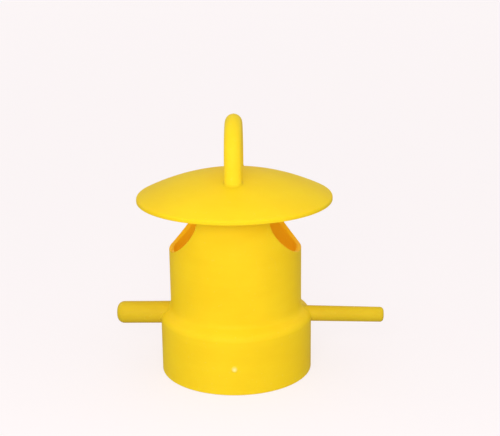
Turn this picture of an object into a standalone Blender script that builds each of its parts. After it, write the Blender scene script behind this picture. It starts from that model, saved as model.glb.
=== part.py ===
"""Pheromone insect trap: a round rain hood on a windowed barrel with two side arms.

The hood, the funnel, the lure and the collecting cup are separate pieces inside
and on the barrel.  Metres, +Z up.  The axis of the barrel is the Z axis, the
windows face -X and +X, and the trap stands on the plane z = 0.
"""

import math

import bmesh
import bpy
from mathutils import Matrix, Vector

MM = 0.001
GAP = 0.3 * MM                  # clearance between two pieces that touch
ROUND_STEPS = 64                # sides of the large turned pieces

# Rain hood
HOOD_RADIUS = 50.0 * MM
HOOD_BOTTOM = 91.2 * MM
HOOD_LIP = 2.0 * MM             # upright edge of the brim
HOOD_RISE = 12.6 * MM           # crown above the edge of the brim
HOOD_SWEEP = 2.0                # power of the dome curve: 1 is a cone, 2 is a bowl
HOOD_WALL = 2.4 * MM
SPIGOT_WALL = 2.4 * MM
SPIGOT_BOTTOM = 90.0 * MM

# Hanging loop and what holds it in the crown
LOOP_ROD = 4.4 * MM             # radius of the rod
LOOP_BEND = 19.0 * MM           # radius of its centre line
LOOP_CENTRE = 111.6 * MM        # height of the centre of the bend
LOOP_FOOT = 93.0 * MM
BOSS_RADIUS = 7.0 * MM
BOSS_BOTTOM = 99.8 * MM
KEEPER_THICK = 2.4 * MM
KEEPER_WIDTH = 14.0 * MM
LUG_THICK = 2.2 * MM
LUG_WIDTH = 8.0 * MM
LUG_HOLE = 2.4 * MM
PIN_RADIUS = 1.1 * MM
KEEPER_PIN_LENGTH = 15.0 * MM

# Barrel
BARREL_RADIUS = 34.1 * MM
BARREL_WALL = 2.5 * MM
BARREL_TOP = 97.0 * MM
SKIRT_RADIUS = 39.3 * MM
SKIRT_WALL = 2.45 * MM
STEP_TOP = 34.2 * MM            # where the sloping step meets the upper wall
STEP_BOTTOM = 30.0 * MM         # where it meets the skirt
STEP_SEAT = 25.8 * MM           # flat ring inside, above the cup
WINDOW_HALF = 29.0 * MM         # half of a window's width
WINDOW_CORNER = 22.5 * MM       # radius of its two lower corners
WINDOW_LOW = 65.8 * MM          # height of its lower edge
RIB_TOP = 57.6 * MM
RIB_REACH = 2.0 * MM

# Side arms
LEFT_ARM = {"side": -1, "root": 5.75 * MM, "tip": 5.75 * MM, "reach": 62.5 * MM,
            "height": 29.8 * MM, "droop": 0.0, "tenon": 3.0 * MM, "round": 3.6 * MM}
RIGHT_ARM = {"side": 1, "root": 4.1 * MM, "tip": 3.9 * MM, "reach": 77.3 * MM,
             "height": 28.7 * MM, "droop": 1.4, "tenon": 2.2 * MM, "round": 1.7 * MM}
ARM_PIN_RADIUS = 0.8 * MM
ARM_PIN_PLACE = 29.0 * MM       # distance of an arm's cross pin from the axis
ARM_PIN_LENGTH = 12.0 * MM
TENON_END = 26.6 * MM

# Funnel
FUNNEL_WALL = 1.6 * MM
FUNNEL_TOP = 59.5 * MM
THROAT_RADIUS = 9.4 * MM
THROAT_TOP = 38.5 * MM
SPOUT_BOTTOM = 30.0 * MM

# Lure
LINK_WIRE = 0.9 * MM            # radius of the link's wire
LINK_RING = 3.6 * MM            # radius of a ring's centre line
EAR_THICK = 2.2 * MM
EAR_HOLE = 2.4 * MM
CAGE_RADIUS = 9.5 * MM
CAGE_WALL = 1.3 * MM
CAGE_HEIGHT = 15.5 * MM
CAGE_SLOTS = 8
CAGE_SLOT_WIDTH = 2.4 * MM
CAP_THICK = 1.8 * MM
CAP_PLUG = 3.0 * MM
SEPTUM_RADIUS = 4.0 * MM
SEPTUM_HEIGHT = 10.5 * MM

# Collecting cup
CUP_TOP = 23.6 * MM
CUP_WALL = 2.0 * MM
CUP_FLOOR = 2.0 * MM
RECESS_RADIUS = 20.0 * MM       # finger recess under the cup
RECESS_DEPTH = 6.2 * MM
GRIP_WIDTH = 6.0 * MM
DRAIN_CIRCLE = 28.0 * MM
DRAIN_RADIUS = 2.0 * MM
DRAIN_COUNT = 8
SCREEN_THICK = 0.8 * MM
SEAL_WALL = 2.3 * MM
STRIP_SIZE = Vector((20.0, 10.0, 5.0)) * MM
CRADLE_WALL = 1.2 * MM
CRADLE_HEIGHT = 4.4 * MM

YELLOW = (0.92, 0.62, 0.028)
GRIPPED_YELLOW = (0.88, 0.57, 0.030)
DEEP_YELLOW = (0.85, 0.53, 0.025)
STEEL = (0.58, 0.58, 0.56)
RED_RUBBER = (0.42, 0.075, 0.035)
BLACK_RUBBER = (0.03, 0.03, 0.03)
CLEAR_WHITE = (0.82, 0.82, 0.78)
STRIP_WHITE = (0.78, 0.74, 0.60)


# ---------------------------------------------------------------- tools

def clear_scene():
    """Remove every object and collection of the open file."""
    for item in list(bpy.data.objects):
        bpy.data.objects.remove(item, do_unlink=True)
    for group in list(bpy.data.collections):
        bpy.data.collections.remove(group)


def new_collection(name):
    group = bpy.data.collections.new(name)
    bpy.context.scene.collection.children.link(group)
    return group


def new_material(name, colour, roughness, metallic=0.0):
    material = bpy.data.materials.new(name)
    material.use_nodes = True
    shader = material.node_tree.nodes["Principled BSDF"]
    shader.inputs["Base Color"].default_value = (*colour, 1.0)
    shader.inputs["Roughness"].default_value = roughness
    shader.inputs["Metallic"].default_value = metallic
    material.diffuse_color = (*colour, 1.0)
    return material


def place(name, mesh, group, material=None):
    """Make an object of a mesh, in a collection, with one material."""
    item = bpy.data.objects.new(name, mesh)
    group.objects.link(item)
    if material:
        mesh.materials.append(material)
    return item


def part(name, mesh, colour, roughness, metallic=0.0, smooth=True):
    """A finished piece: an object in the trap's collection with its own material."""
    material = new_material(name, colour, roughness, metallic)
    item = place(name, mesh, parts, material)
    if smooth:
        mesh.shade_smooth()
    return item


def cutter(name, mesh):
    """A guide shape for a Boolean: hidden in renders and drawn as wire."""
    item = place(name, mesh, cutters)
    item.hide_render = True
    item.display_type = "WIRE"
    return item


def profile_mesh(name, points, closed):
    """A line of (radius, height) points in the XZ plane, ready to be turned."""
    mesh = bpy.data.meshes.new(name)
    edges = [(i, i + 1) for i in range(len(points) - 1)]
    if closed:
        edges.append((len(points) - 1, 0))
    mesh.from_pydata([(radius, 0.0, height) for radius, height in points], edges, [])
    return mesh


def turn(item, steps=ROUND_STEPS):
    """Turn a profile about Z with a Screw modifier."""
    screw = item.modifiers.new("Turn", "SCREW")
    screw.steps = steps
    screw.render_steps = steps
    screw.use_merge_vertices = True
    screw.merge_threshold = 0.00001
    screw.use_smooth_shade = True
    return item


def combine(item, other, operation):
    """Cut or join another object with a Boolean modifier."""
    change = item.modifiers.new(operation.title(), "BOOLEAN")
    change.operation = operation
    change.object = other
    change.solver = "EXACT"


def cylinder_mesh(name, radius, length, sides=32, matrix=None):
    """A closed cylinder on Z, centred, then moved by the matrix."""
    mesh = bpy.data.meshes.new(name)
    shape = bmesh.new()
    bmesh.ops.create_cone(shape, cap_ends=True, segments=sides, radius1=radius,
                          radius2=radius, depth=length)
    if matrix:
        bmesh.ops.transform(shape, matrix=matrix, verts=shape.verts)
    shape.to_mesh(mesh)
    shape.free()
    return mesh


def box_mesh(name, size, centre):
    mesh = bpy.data.meshes.new(name)
    shape = bmesh.new()
    bmesh.ops.create_cube(shape, size=1.0)
    bmesh.ops.scale(shape, vec=size, verts=shape.verts)
    bmesh.ops.translate(shape, vec=centre, verts=shape.verts)
    shape.to_mesh(mesh)
    shape.free()
    return mesh


def along(axis, centre):
    """The matrix that lays a Z cylinder along X or Y at a point."""
    angle = {"X": ("Y", 90), "Y": ("X", 90), "Z": ("Z", 0)}[axis]
    return Matrix.Translation(centre) @ Matrix.Rotation(math.radians(angle[1]), 4, angle[0])


def arc(centre, radius, start, end, count):
    """Points of an arc in (radius, height), angles in degrees from +radius."""
    points = []
    for i in range(count + 1):
        angle = math.radians(start + (end - start) * i / count)
        points.append((centre[0] + radius * math.cos(angle), centre[1] + radius * math.sin(angle)))
    return points


def mesh_of_curve(curve_object):
    """The curve's evaluated mesh with its caps welded; the curve is removed."""
    evaluated = curve_object.evaluated_get(bpy.context.evaluated_depsgraph_get())
    mesh = bpy.data.meshes.new_from_object(evaluated)
    shape = bmesh.new()
    shape.from_mesh(mesh)
    bmesh.ops.remove_doubles(shape, verts=shape.verts, dist=0.000005)
    bmesh.ops.recalc_face_normals(shape, faces=shape.faces)
    bmesh.ops.transform(shape, matrix=curve_object.matrix_world, verts=shape.verts)
    shape.to_mesh(mesh)
    shape.free()
    bpy.data.objects.remove(curve_object, do_unlink=True)
    return mesh


def rod_mesh(name, points, radius, resolution):
    """A round rod with filled ends along a list of points."""
    curve = bpy.data.curves.new(name, "CURVE")
    curve.dimensions = "3D"
    curve.bevel_depth = radius
    curve.bevel_resolution = resolution
    curve.use_fill_caps = True
    line = curve.splines.new("POLY")
    line.points.add(len(points) - 1)
    for point, place_at in zip(line.points, points):
        point.co = (*place_at, 1.0)
    item = bpy.data.objects.new(name, curve)
    bpy.context.scene.collection.objects.link(item)
    bpy.context.view_layer.update()
    return mesh_of_curve(item)


def torus_mesh(name, ring, wire, matrix, major=28, minor=10):
    """A closed ring of round wire, from a turned circle."""
    mesh = bpy.data.meshes.new(name)
    shape = bmesh.new()
    circle = [shape.verts.new((ring + wire * math.cos(math.tau * i / minor), 0.0,
                               wire * math.sin(math.tau * i / minor))) for i in range(minor)]
    loop = [shape.edges.new((circle[i], circle[(i + 1) % minor])) for i in range(minor)]
    bmesh.ops.spin(shape, geom=circle + loop, cent=(0, 0, 0), axis=(0, 0, 1),
                   angle=math.tau, steps=major, use_merge=True)
    bmesh.ops.remove_doubles(shape, verts=shape.verts, dist=0.000005)
    bmesh.ops.recalc_face_normals(shape, faces=shape.faces)
    bmesh.ops.transform(shape, matrix=matrix, verts=shape.verts)
    shape.to_mesh(mesh)
    shape.free()
    return mesh


# ---------------------------------------------------------------- hood and loop

def hood_top(radius):
    """Height of the hood's outer face at a distance from the axis."""
    return HOOD_BOTTOM + HOOD_LIP + HOOD_RISE * (1 - (radius / HOOD_RADIUS) ** HOOD_SWEEP)


def hood_underside(radius):
    return hood_top(radius) - HOOD_WALL


def make_hood():
    rings = 12
    spigot_outer = BARREL_RADIUS - BARREL_WALL - GAP
    spigot_inner = spigot_outer - SPIGOT_WALL
    lip_inner = HOOD_RADIUS - HOOD_WALL
    outer = [(HOOD_RADIUS * 0.985 * i / rings, hood_top(HOOD_RADIUS * 0.985 * i / rings))
             for i in range(rings + 1)]
    edge = [(HOOD_RADIUS - 0.15 * MM, HOOD_BOTTOM + HOOD_LIP - 0.1 * MM),
            (HOOD_RADIUS, HOOD_BOTTOM + HOOD_LIP - 0.7 * MM),
            (HOOD_RADIUS, HOOD_BOTTOM + 0.4 * MM),
            (HOOD_RADIUS - 0.4 * MM, HOOD_BOTTOM),
            (lip_inner + 0.2 * MM, HOOD_BOTTOM),
            (lip_inner, hood_underside(lip_inner))]
    outside = [(r, hood_underside(r)) for r in (42 * MM, 36 * MM, spigot_outer)]
    spigot = [(spigot_outer, SPIGOT_BOTTOM + 0.5 * MM), (spigot_outer - 0.5 * MM, SPIGOT_BOTTOM),
              (spigot_inner, SPIGOT_BOTTOM)]
    inside = [(r, hood_underside(r)) for r in (spigot_inner, 22 * MM, 15 * MM, 8 * MM, 0.0)]
    points = outer + edge + outside + spigot + inside
    hood = part("rain_hood", profile_mesh("rain_hood", points, closed=False), YELLOW, 0.38)
    turn(hood)
    for side in (-1, 1):
        boss_height = 2 * MM
        centre = Vector((0, side * LOOP_BEND, BOSS_BOTTOM + boss_height / 2))
        boss = cylinder_mesh("boss", BOSS_RADIUS, boss_height, 24, Matrix.Translation(centre))
        for corner in boss.vertices:
            if corner.co.z > centre.z:
                corner.co.z = hood_top(corner.co.xy.length) - HOOD_WALL / 2
        combine(hood, cutter(f"loop_boss_{side}", boss), "UNION")
    for side in (-1, 1):
        centre = Vector((0, side * LOOP_BEND, LOOP_CENTRE))
        hole = cutter(f"loop_hole_{side}", cylinder_mesh("hole", LOOP_ROD + GAP, 60 * MM, 24,
                                                         Matrix.Translation(centre)))
        combine(hood, hole, "DIFFERENCE")
    return hood


def make_loop():
    """An upright half ring of round rod whose legs pass through the crown."""
    bends = 24
    points = [(0.0, -LOOP_BEND, LOOP_FOOT)]
    for i in range(bends + 1):
        angle = math.pi - math.pi * i / bends
        points.append((0.0, LOOP_BEND * math.cos(angle), LOOP_CENTRE + LOOP_BEND * math.sin(angle)))
    points.append((0.0, LOOP_BEND, LOOP_FOOT))
    loop = part("hanging_loop", rod_mesh("hanging_loop", points, LOOP_ROD, 3), YELLOW, 0.36)
    for side in (-1, 1):
        centre = Vector((0, side * LOOP_BEND, keeper_pin_height()))
        hole = cutter(f"leg_hole_{side}", cylinder_mesh("leg_hole", PIN_RADIUS + GAP, 20 * MM, 16,
                                                        along("X", centre)))
        combine(loop, hole, "DIFFERENCE")
    return loop


def keeper_top():
    return BOSS_BOTTOM - GAP


def keeper_bottom():
    return keeper_top() - KEEPER_THICK


def keeper_pin_height():
    return keeper_bottom() - GAP - PIN_RADIUS


def lug_hole_height():
    return keeper_bottom() - 5.6 * MM


def make_keeper():
    """A bar under the crown, threaded on both legs, with a lug for the lure."""
    length = 2 * (LOOP_BEND + BOSS_RADIUS)
    middle = (keeper_top() + keeper_bottom()) / 2
    size = Vector((KEEPER_WIDTH, length, KEEPER_THICK))
    keeper = part("loop_keeper", box_mesh("loop_keeper", size, (0, 0, middle)), DEEP_YELLOW, 0.5,
                  smooth=False)
    lug_bottom = lug_hole_height() - LUG_HOLE - 1.7 * MM
    lug_height = middle - lug_bottom
    lug = cutter("keeper_lug", box_mesh("lug", (LUG_THICK, LUG_WIDTH, lug_height),
                                        (0, 0, lug_bottom + lug_height / 2)))
    combine(keeper, lug, "UNION")
    eye = cutter("keeper_eye", cylinder_mesh("eye", LUG_HOLE, 12 * MM, 16,
                                             along("X", Vector((0, 0, lug_hole_height())))))
    combine(keeper, eye, "DIFFERENCE")
    for side in (-1, 1):
        centre = Vector((0, side * LOOP_BEND, middle))
        hole = cutter(f"keeper_hole_{side}", cylinder_mesh("keeper_hole", LOOP_ROD + GAP, 10 * MM,
                                                           24, Matrix.Translation(centre)))
        combine(keeper, hole, "DIFFERENCE")
    return keeper


def make_keeper_pins():
    """Two cross pins that stop the legs from pulling out of the bar."""
    for name, side in (("keeper_pin_front", -1), ("keeper_pin_back", 1)):
        centre = Vector((0, side * LOOP_BEND, keeper_pin_height()))
        mesh = cylinder_mesh(name, PIN_RADIUS, KEEPER_PIN_LENGTH, 16, along("X", centre))
        part(name, mesh, STEEL, 0.3, 1.0)


# ---------------------------------------------------------------- barrel and arms

def barrel_outline(offset=0.0):
    """Outer side of the barrel from top to bottom, moved outward by an offset."""
    slope = Vector((SKIRT_RADIUS - BARREL_RADIUS, STEP_BOTTOM - STEP_TOP)).normalized()
    soft = 1.6 * MM
    upper = (BARREL_RADIUS + offset, STEP_TOP + offset)
    lower = (SKIRT_RADIUS + offset, STEP_BOTTOM + offset)
    return [(BARREL_RADIUS + offset, BARREL_TOP),
            (BARREL_RADIUS + offset, upper[1] + soft),
            (upper[0] + 0.28 * soft, upper[1] + 0.15 * soft),
            (upper[0] + slope.x * soft, upper[1] + slope.y * soft),
            (lower[0] - slope.x * soft, lower[1] - slope.y * soft),
            (lower[0] - 0.22 * soft, lower[1] + 0.1 * soft),
            (lower[0], lower[1] - soft)]


def window_mesh():
    """The arched opening through both sides: a block along X with round lower corners."""
    length = 100 * MM
    top = HOOD_BOTTOM + HOOD_RISE
    mesh = box_mesh("window", (length, 2 * WINDOW_HALF, top - WINDOW_LOW),
                    (0, 0, (top + WINDOW_LOW) / 2))
    shape = bmesh.new()
    shape.from_mesh(mesh)
    corners = [edge for edge in shape.edges
               if all(corner.co.z < WINDOW_LOW + GAP for corner in edge.verts)
               and abs(edge.verts[0].co.x - edge.verts[1].co.x) > GAP]
    bmesh.ops.bevel(shape, geom=corners, offset=WINDOW_CORNER, segments=20, profile=0.5,
                    affect="EDGES")
    shape.to_mesh(mesh)
    shape.free()
    return mesh


def make_barrel():
    inner = BARREL_RADIUS - BARREL_WALL
    skirt_inner = SKIRT_RADIUS - SKIRT_WALL
    rib = inner - RIB_REACH
    outer = barrel_outline() + [(SKIRT_RADIUS, 0.6 * MM), (SKIRT_RADIUS - 0.6 * MM, 0.0)]
    inside = [(skirt_inner + 0.3 * MM, 0.0), (skirt_inner, 0.6 * MM), (skirt_inner, STEP_SEAT),
              (inner + 2.2 * MM, STEP_SEAT), (inner, STEP_SEAT + 3.6 * MM),
              (inner, RIB_TOP - 1.8 * MM - RIB_REACH), (rib, RIB_TOP - 1.8 * MM), (rib, RIB_TOP),
              (inner, RIB_TOP), (inner, BARREL_TOP)]
    barrel = part("barrel", profile_mesh("barrel", outer + inside, closed=True), YELLOW, 0.38)
    turn(barrel)
    combine(barrel, cutter("window_cutter", window_mesh()), "DIFFERENCE")
    for arm in (LEFT_ARM, RIGHT_ARM):
        socket = cylinder_mesh("socket", arm["tenon"] + GAP, 24 * MM, 24)
        socket.transform(arm_matrix(arm, 36 * MM))
        combine(barrel, cutter(f"socket_{arm['side']}", socket), "DIFFERENCE")
    return barrel


def arm_matrix(arm, distance):
    """Moves a Z shape onto an arm's line, at a distance from the axis, tip along +Z."""
    tilt = math.radians(90 + arm["droop"]) * arm["side"]
    start = Vector((arm["side"] * SKIRT_RADIUS, 0, arm["height"]))
    turned = Matrix.Translation(start) @ Matrix.Rotation(tilt, 4, "Y")
    return turned @ Matrix.Translation((0, 0, distance - SKIRT_RADIUS))


def make_arm(name, arm):
    """A round arm whose root follows the barrel's wall, with a tenon into the wall."""
    tip = arm["reach"] - SKIRT_RADIUS
    inset = -12 * MM
    rounded = arc((arm["tip"] - arm["round"], tip - arm["round"]), arm["round"], 90, 0, 5)
    points = [(0.0, tip)] + rounded + [(arm["root"], 0.0), (arm["root"], inset), (0.0, inset)]
    body = part(name, profile_mesh(name, points, closed=False), GRIPPED_YELLOW, 0.4)
    turn(body, 28)
    body.matrix_world = arm_matrix(arm, SKIRT_RADIUS)

    clearance = [(0.0, BARREL_TOP)] + barrel_outline(GAP) + [(SKIRT_RADIUS + GAP, 10 * MM),
                                                             (0.0, 10 * MM)]
    wall = turn(cutter(f"{name}_wall", profile_mesh("wall", clearance, closed=False)))
    combine(body, wall, "DIFFERENCE")

    length = SKIRT_RADIUS + 3 * MM - TENON_END
    tenon = cylinder_mesh("tenon", arm["tenon"], length, 24)
    tenon.transform(arm_matrix(arm, TENON_END + length / 2))
    combine(body, cutter(f"{name}_tenon", tenon), "UNION")

    hole = cylinder_mesh("pin_hole", ARM_PIN_RADIUS + GAP, 20 * MM, 12)
    hole.transform(Matrix.Rotation(math.radians(90), 4, "X"))
    hole.transform(arm_matrix(arm, ARM_PIN_PLACE))
    combine(body, cutter(f"{name}_pin_hole", hole), "DIFFERENCE")

    pin = cylinder_mesh(f"{name}_pin", ARM_PIN_RADIUS, ARM_PIN_LENGTH, 12)
    pin.transform(Matrix.Rotation(math.radians(90), 4, "X"))
    pin.transform(arm_matrix(arm, ARM_PIN_PLACE))
    part(f"{name}_pin", pin, STEEL, 0.3, 1.0)
    return body


# ---------------------------------------------------------------- funnel

def make_funnel():
    """A cone hung by its flange on the barrel's rib, with a short spout."""
    inner = BARREL_RADIUS - BARREL_WALL
    flange = inner - GAP
    cone_top = inner - RIB_REACH - 2 * GAP
    seat = RIB_TOP + GAP
    throat = THROAT_RADIUS + FUNNEL_WALL
    points = [(flange, FUNNEL_TOP), (flange, seat), (cone_top, seat), (throat, THROAT_TOP),
              (throat - 0.4 * MM, SPOUT_BOTTOM), (throat - FUNNEL_WALL - 0.2 * MM, SPOUT_BOTTOM),
              (THROAT_RADIUS, THROAT_TOP + 0.6 * MM), (cone_top - FUNNEL_WALL, FUNNEL_TOP)]
    funnel = part("funnel", profile_mesh("funnel", points, closed=True), DEEP_YELLOW, 0.42)
    return turn(funnel)


# ---------------------------------------------------------------- lure

def link_top():
    """Height of the wire where the link passes through the keeper's eye."""
    return lug_hole_height() - (LUG_HOLE - LINK_WIRE - 2 * GAP)


def link_bottom():
    return link_top() - 4 * LINK_RING + LINK_WIRE


def make_link():
    """Two rings of wire at right angles, from the keeper's eye to the cage's ear."""
    upper = Vector((0, 0, link_top() - LINK_RING))
    lower = Vector((0, 0, link_bottom() + LINK_RING))
    mesh = torus_mesh("lure_hook", LINK_RING, LINK_WIRE, along("Y", upper))
    hook = part("lure_hook", mesh, STEEL, 0.28, 1.0)
    ring = cutter("link_ring", torus_mesh("link_ring", LINK_RING, LINK_WIRE, along("X", lower)))
    combine(hook, ring, "UNION")
    return hook


def ear_hole_height():
    return link_bottom() + (EAR_HOLE - LINK_WIRE - 2 * GAP)


def cage_top():
    return ear_hole_height() - EAR_HOLE - 2.6 * MM


def cage_bottom():
    return cage_top() - CAGE_HEIGHT


def make_cage():
    """A slotted cylinder, closed on top, with an ear for the link."""
    ceiling = cage_top() - 1.4 * MM
    points = [(0.0, cage_top()), (CAGE_RADIUS - 1.0 * MM, cage_top()),
              (CAGE_RADIUS, cage_top() - 1.0 * MM), (CAGE_RADIUS, cage_bottom()),
              (CAGE_RADIUS - CAGE_WALL, cage_bottom()), (CAGE_RADIUS - CAGE_WALL, ceiling),
              (0.0, ceiling)]
    cage = part("lure_cage", profile_mesh("lure_cage", points, closed=False), CLEAR_WHITE, 0.4)
    turn(cage, 32)
    slot_height = CAGE_HEIGHT - 7.5 * MM
    middle = (cage_top() + cage_bottom()) / 2 + 0.6 * MM
    for i in range(CAGE_SLOTS // 2):
        size = (4 * CAGE_RADIUS, CAGE_SLOT_WIDTH, slot_height)
        slot = box_mesh("slot", size, (0, 0, 0))
        angle = math.pi * (i + 0.5) / (CAGE_SLOTS // 2)
        slot.transform(Matrix.Translation((0, 0, middle)) @ Matrix.Rotation(angle, 4, "Z"))
        combine(cage, cutter(f"cage_slot_{i}", slot), "DIFFERENCE")
    ear_top = ear_hole_height() + EAR_HOLE + 1.3 * MM
    ear_bottom = cage_top() - 0.7 * MM
    size = (7.0 * MM, EAR_THICK, ear_top - ear_bottom)
    ear = cutter("cage_ear", box_mesh("ear", size, (0, 0, (ear_top + ear_bottom) / 2)))
    combine(cage, ear, "UNION")
    hole = cylinder_mesh("ear_hole", EAR_HOLE, 10 * MM, 16,
                         along("Y", Vector((0, 0, ear_hole_height()))))
    combine(cage, cutter("ear_hole", hole), "DIFFERENCE")
    return cage


def make_cage_cap():
    """A push-on base for the cage, with a raised ring inside that centres the lure."""
    top = cage_bottom() - GAP
    plug = CAGE_RADIUS - CAGE_WALL - GAP
    points = [(0.0, top), (plug - 1.2 * MM, top), (plug - 1.2 * MM, top + CAP_PLUG),
              (plug, top + CAP_PLUG), (plug, top), (CAGE_RADIUS + 0.6 * MM, top),
              (CAGE_RADIUS + 0.6 * MM, top - CAP_THICK + 0.5 * MM),
              (CAGE_RADIUS + 0.1 * MM, top - CAP_THICK), (0.0, top - CAP_THICK)]
    cap = part("cage_cap", profile_mesh("cage_cap", points, closed=False), CLEAR_WHITE, 0.4)
    return turn(cap, 32)


def make_septum():
    """A rubber stopper that carries the scent: a wide foot, a waist and a hollow top."""
    foot = cage_bottom()
    top = foot + SEPTUM_HEIGHT
    points = [(0.0, top - 3.0 * MM), (1.6 * MM, top - 3.0 * MM), (1.9 * MM, top),
              (SEPTUM_RADIUS - 0.4 * MM, top), (SEPTUM_RADIUS, top - 0.4 * MM),
              (SEPTUM_RADIUS, top - 4.2 * MM), (SEPTUM_RADIUS - 1.1 * MM, top - 5.0 * MM),
              (SEPTUM_RADIUS - 1.1 * MM, foot + 0.3 * MM),
              (SEPTUM_RADIUS - 1.4 * MM, foot), (0.0, foot)]
    septum = part("lure_septum", profile_mesh("lure_septum", points, closed=False), RED_RUBBER, 0.7)
    return turn(septum, 24)


# ---------------------------------------------------------------- cup

def cup_outer():
    return SKIRT_RADIUS - SKIRT_WALL - GAP - 0.05 * MM


def hump_top():
    """Inner floor above the finger recess."""
    return RECESS_DEPTH + CUP_FLOOR


def make_cup():
    """A round cup with drain holes and a finger recess with a grip bar below."""
    outer = cup_outer()
    inner = outer - CUP_WALL
    slant = 1.8 * MM
    points = [(0.0, hump_top()), (RECESS_RADIUS - slant + CUP_FLOOR, hump_top()),
              (RECESS_RADIUS + CUP_FLOOR, CUP_FLOOR), (inner, CUP_FLOOR), (inner, CUP_TOP),
              (outer, CUP_TOP), (outer, 0.8 * MM), (outer - 0.8 * MM, 0.0),
              (RECESS_RADIUS, 0.0), (RECESS_RADIUS - slant, RECESS_DEPTH), (0.0, RECESS_DEPTH)]
    cup = part("collecting_cup", profile_mesh("collecting_cup", points, closed=False), YELLOW, 0.4)
    turn(cup)
    grip_length = 2 * (RECESS_RADIUS - 0.6 * slant)
    grip_height = RECESS_DEPTH + CUP_FLOOR / 2
    grip = cutter("grip_bar", box_mesh("grip", (grip_length, GRIP_WIDTH, grip_height),
                                       (0, 0, grip_height / 2)))
    combine(cup, grip, "UNION")
    for i in range(DRAIN_COUNT):
        angle = math.tau * (i + 0.5) / DRAIN_COUNT
        centre = Vector((DRAIN_CIRCLE * math.cos(angle), DRAIN_CIRCLE * math.sin(angle), 0))
        hole = cylinder_mesh("drain", DRAIN_RADIUS, 10 * MM, 16, Matrix.Translation(centre))
        combine(cup, cutter(f"drain_{i}", hole), "DIFFERENCE")
    return cup


def make_screen():
    """A pierced ring over the drain holes."""
    inner = RECESS_RADIUS + CUP_FLOOR + GAP
    outer = cup_outer() - CUP_WALL - GAP
    bottom = CUP_FLOOR + GAP
    top = bottom + SCREEN_THICK
    points = [(outer, top), (outer, bottom), (inner, bottom), (inner, top)]
    screen = part("drain_screen", profile_mesh("drain_screen", points, closed=True), STEEL, 0.35,
                  1.0, smooth=False)
    turn(screen, 48)
    for row, (radius, count) in enumerate(((25.5 * MM, 12), (30.5 * MM, 16))):
        for i in range(count):
            angle = math.tau * (i + 0.5) / count
            centre = Vector((radius * math.cos(angle), radius * math.sin(angle), bottom))
            hole = cylinder_mesh("mesh_hole", 1.3 * MM, 4 * MM, 8, Matrix.Translation(centre))
            combine(screen, cutter(f"screen_hole_{row}_{i}", hole), "DIFFERENCE")
    return screen


def make_seal():
    """A flat rubber ring between the cup's rim and the seat inside the barrel."""
    outer = cup_outer() - GAP
    bottom = CUP_TOP + GAP
    top = STEP_SEAT - GAP
    points = [(outer, top), (outer, bottom), (outer - SEAL_WALL, bottom), (outer - SEAL_WALL, top)]
    seal = part("cup_seal", profile_mesh("cup_seal", points, closed=True), BLACK_RUBBER, 0.75)
    return turn(seal, 48)


def make_cradle_and_strip():
    """An open tray on the cup's hump, with the killing strip lying in it."""
    bottom = hump_top() + GAP
    outer = STRIP_SIZE + Vector((1, 1, 0)) * 2 * (CRADLE_WALL + GAP)
    outer.z = CRADLE_HEIGHT
    cradle = part("strip_cradle", box_mesh("strip_cradle", outer, (0, 0, bottom + outer.z / 2)),
                  DEEP_YELLOW, 0.5, smooth=False)
    pocket = STRIP_SIZE + Vector((2 * GAP, 2 * GAP, 0))
    pocket_floor = bottom + CRADLE_WALL
    centre = (0, 0, pocket_floor + pocket.z / 2)
    combine(cradle, cutter("cradle_pocket", box_mesh("pocket", pocket, centre)), "DIFFERENCE")
    strip_centre = (0, 0, pocket_floor + GAP + STRIP_SIZE.z / 2)
    part("kill_strip", box_mesh("kill_strip", STRIP_SIZE, strip_centre), STRIP_WHITE, 0.8,
         smooth=False)


# ---------------------------------------------------------------- joints

def hang_on(name, place_at, children):
    """An empty on a joint's axis, with the pieces that move about it."""
    joint = bpy.data.objects.new(name, None)
    parts.objects.link(joint)
    joint.empty_display_size = 0.01
    joint.location = place_at
    bpy.context.view_layer.update()
    for child in children:
        item = bpy.data.objects[child]
        world = item.matrix_world.copy()
        item.parent = joint
        item.matrix_parent_inverse = Matrix.Translation(-Vector(place_at))
        item.matrix_world = world
    return joint


def add_joints():
    hood = hang_on("hood_joint", (0, 0, HOOD_BOTTOM), ["rain_hood", "hanging_loop", "loop_keeper",
                                                       "keeper_pin_front", "keeper_pin_back"])
    link = hang_on("hook_joint", (0, 0, link_top()), ["lure_hook"])
    cage = hang_on("cage_joint", (0, 0, link_bottom()), ["lure_cage"])
    cap = hang_on("cap_joint", (0, 0, cage_bottom()), ["cage_cap", "lure_septum"])
    hang_on("cup_joint", (0, 0, 0), ["collecting_cup", "drain_screen", "cup_seal",
                                     "strip_cradle", "kill_strip"])
    for child, parent in ((cap, cage), (cage, link), (link, hood)):
        child.parent = parent
        child.matrix_parent_inverse = Matrix.Translation(-parent.matrix_world.translation)


clear_scene()
parts = new_collection("pheromone_insect_trap")
cutters = new_collection("cutters")

make_hood()
make_loop()
make_keeper()
make_keeper_pins()
make_barrel()
make_arm("left_arm", LEFT_ARM)
make_arm("right_arm", RIGHT_ARM)
make_funnel()
make_link()
make_cage()
make_cage_cap()
make_septum()
make_cup()
make_screen()
make_seal()
make_cradle_and_strip()
add_joints()
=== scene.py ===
import math

import bmesh
import bpy
import numpy as np
from mathutils import Matrix, Vector
from mathutils.geometry import delaunay_2d_cdt


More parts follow.
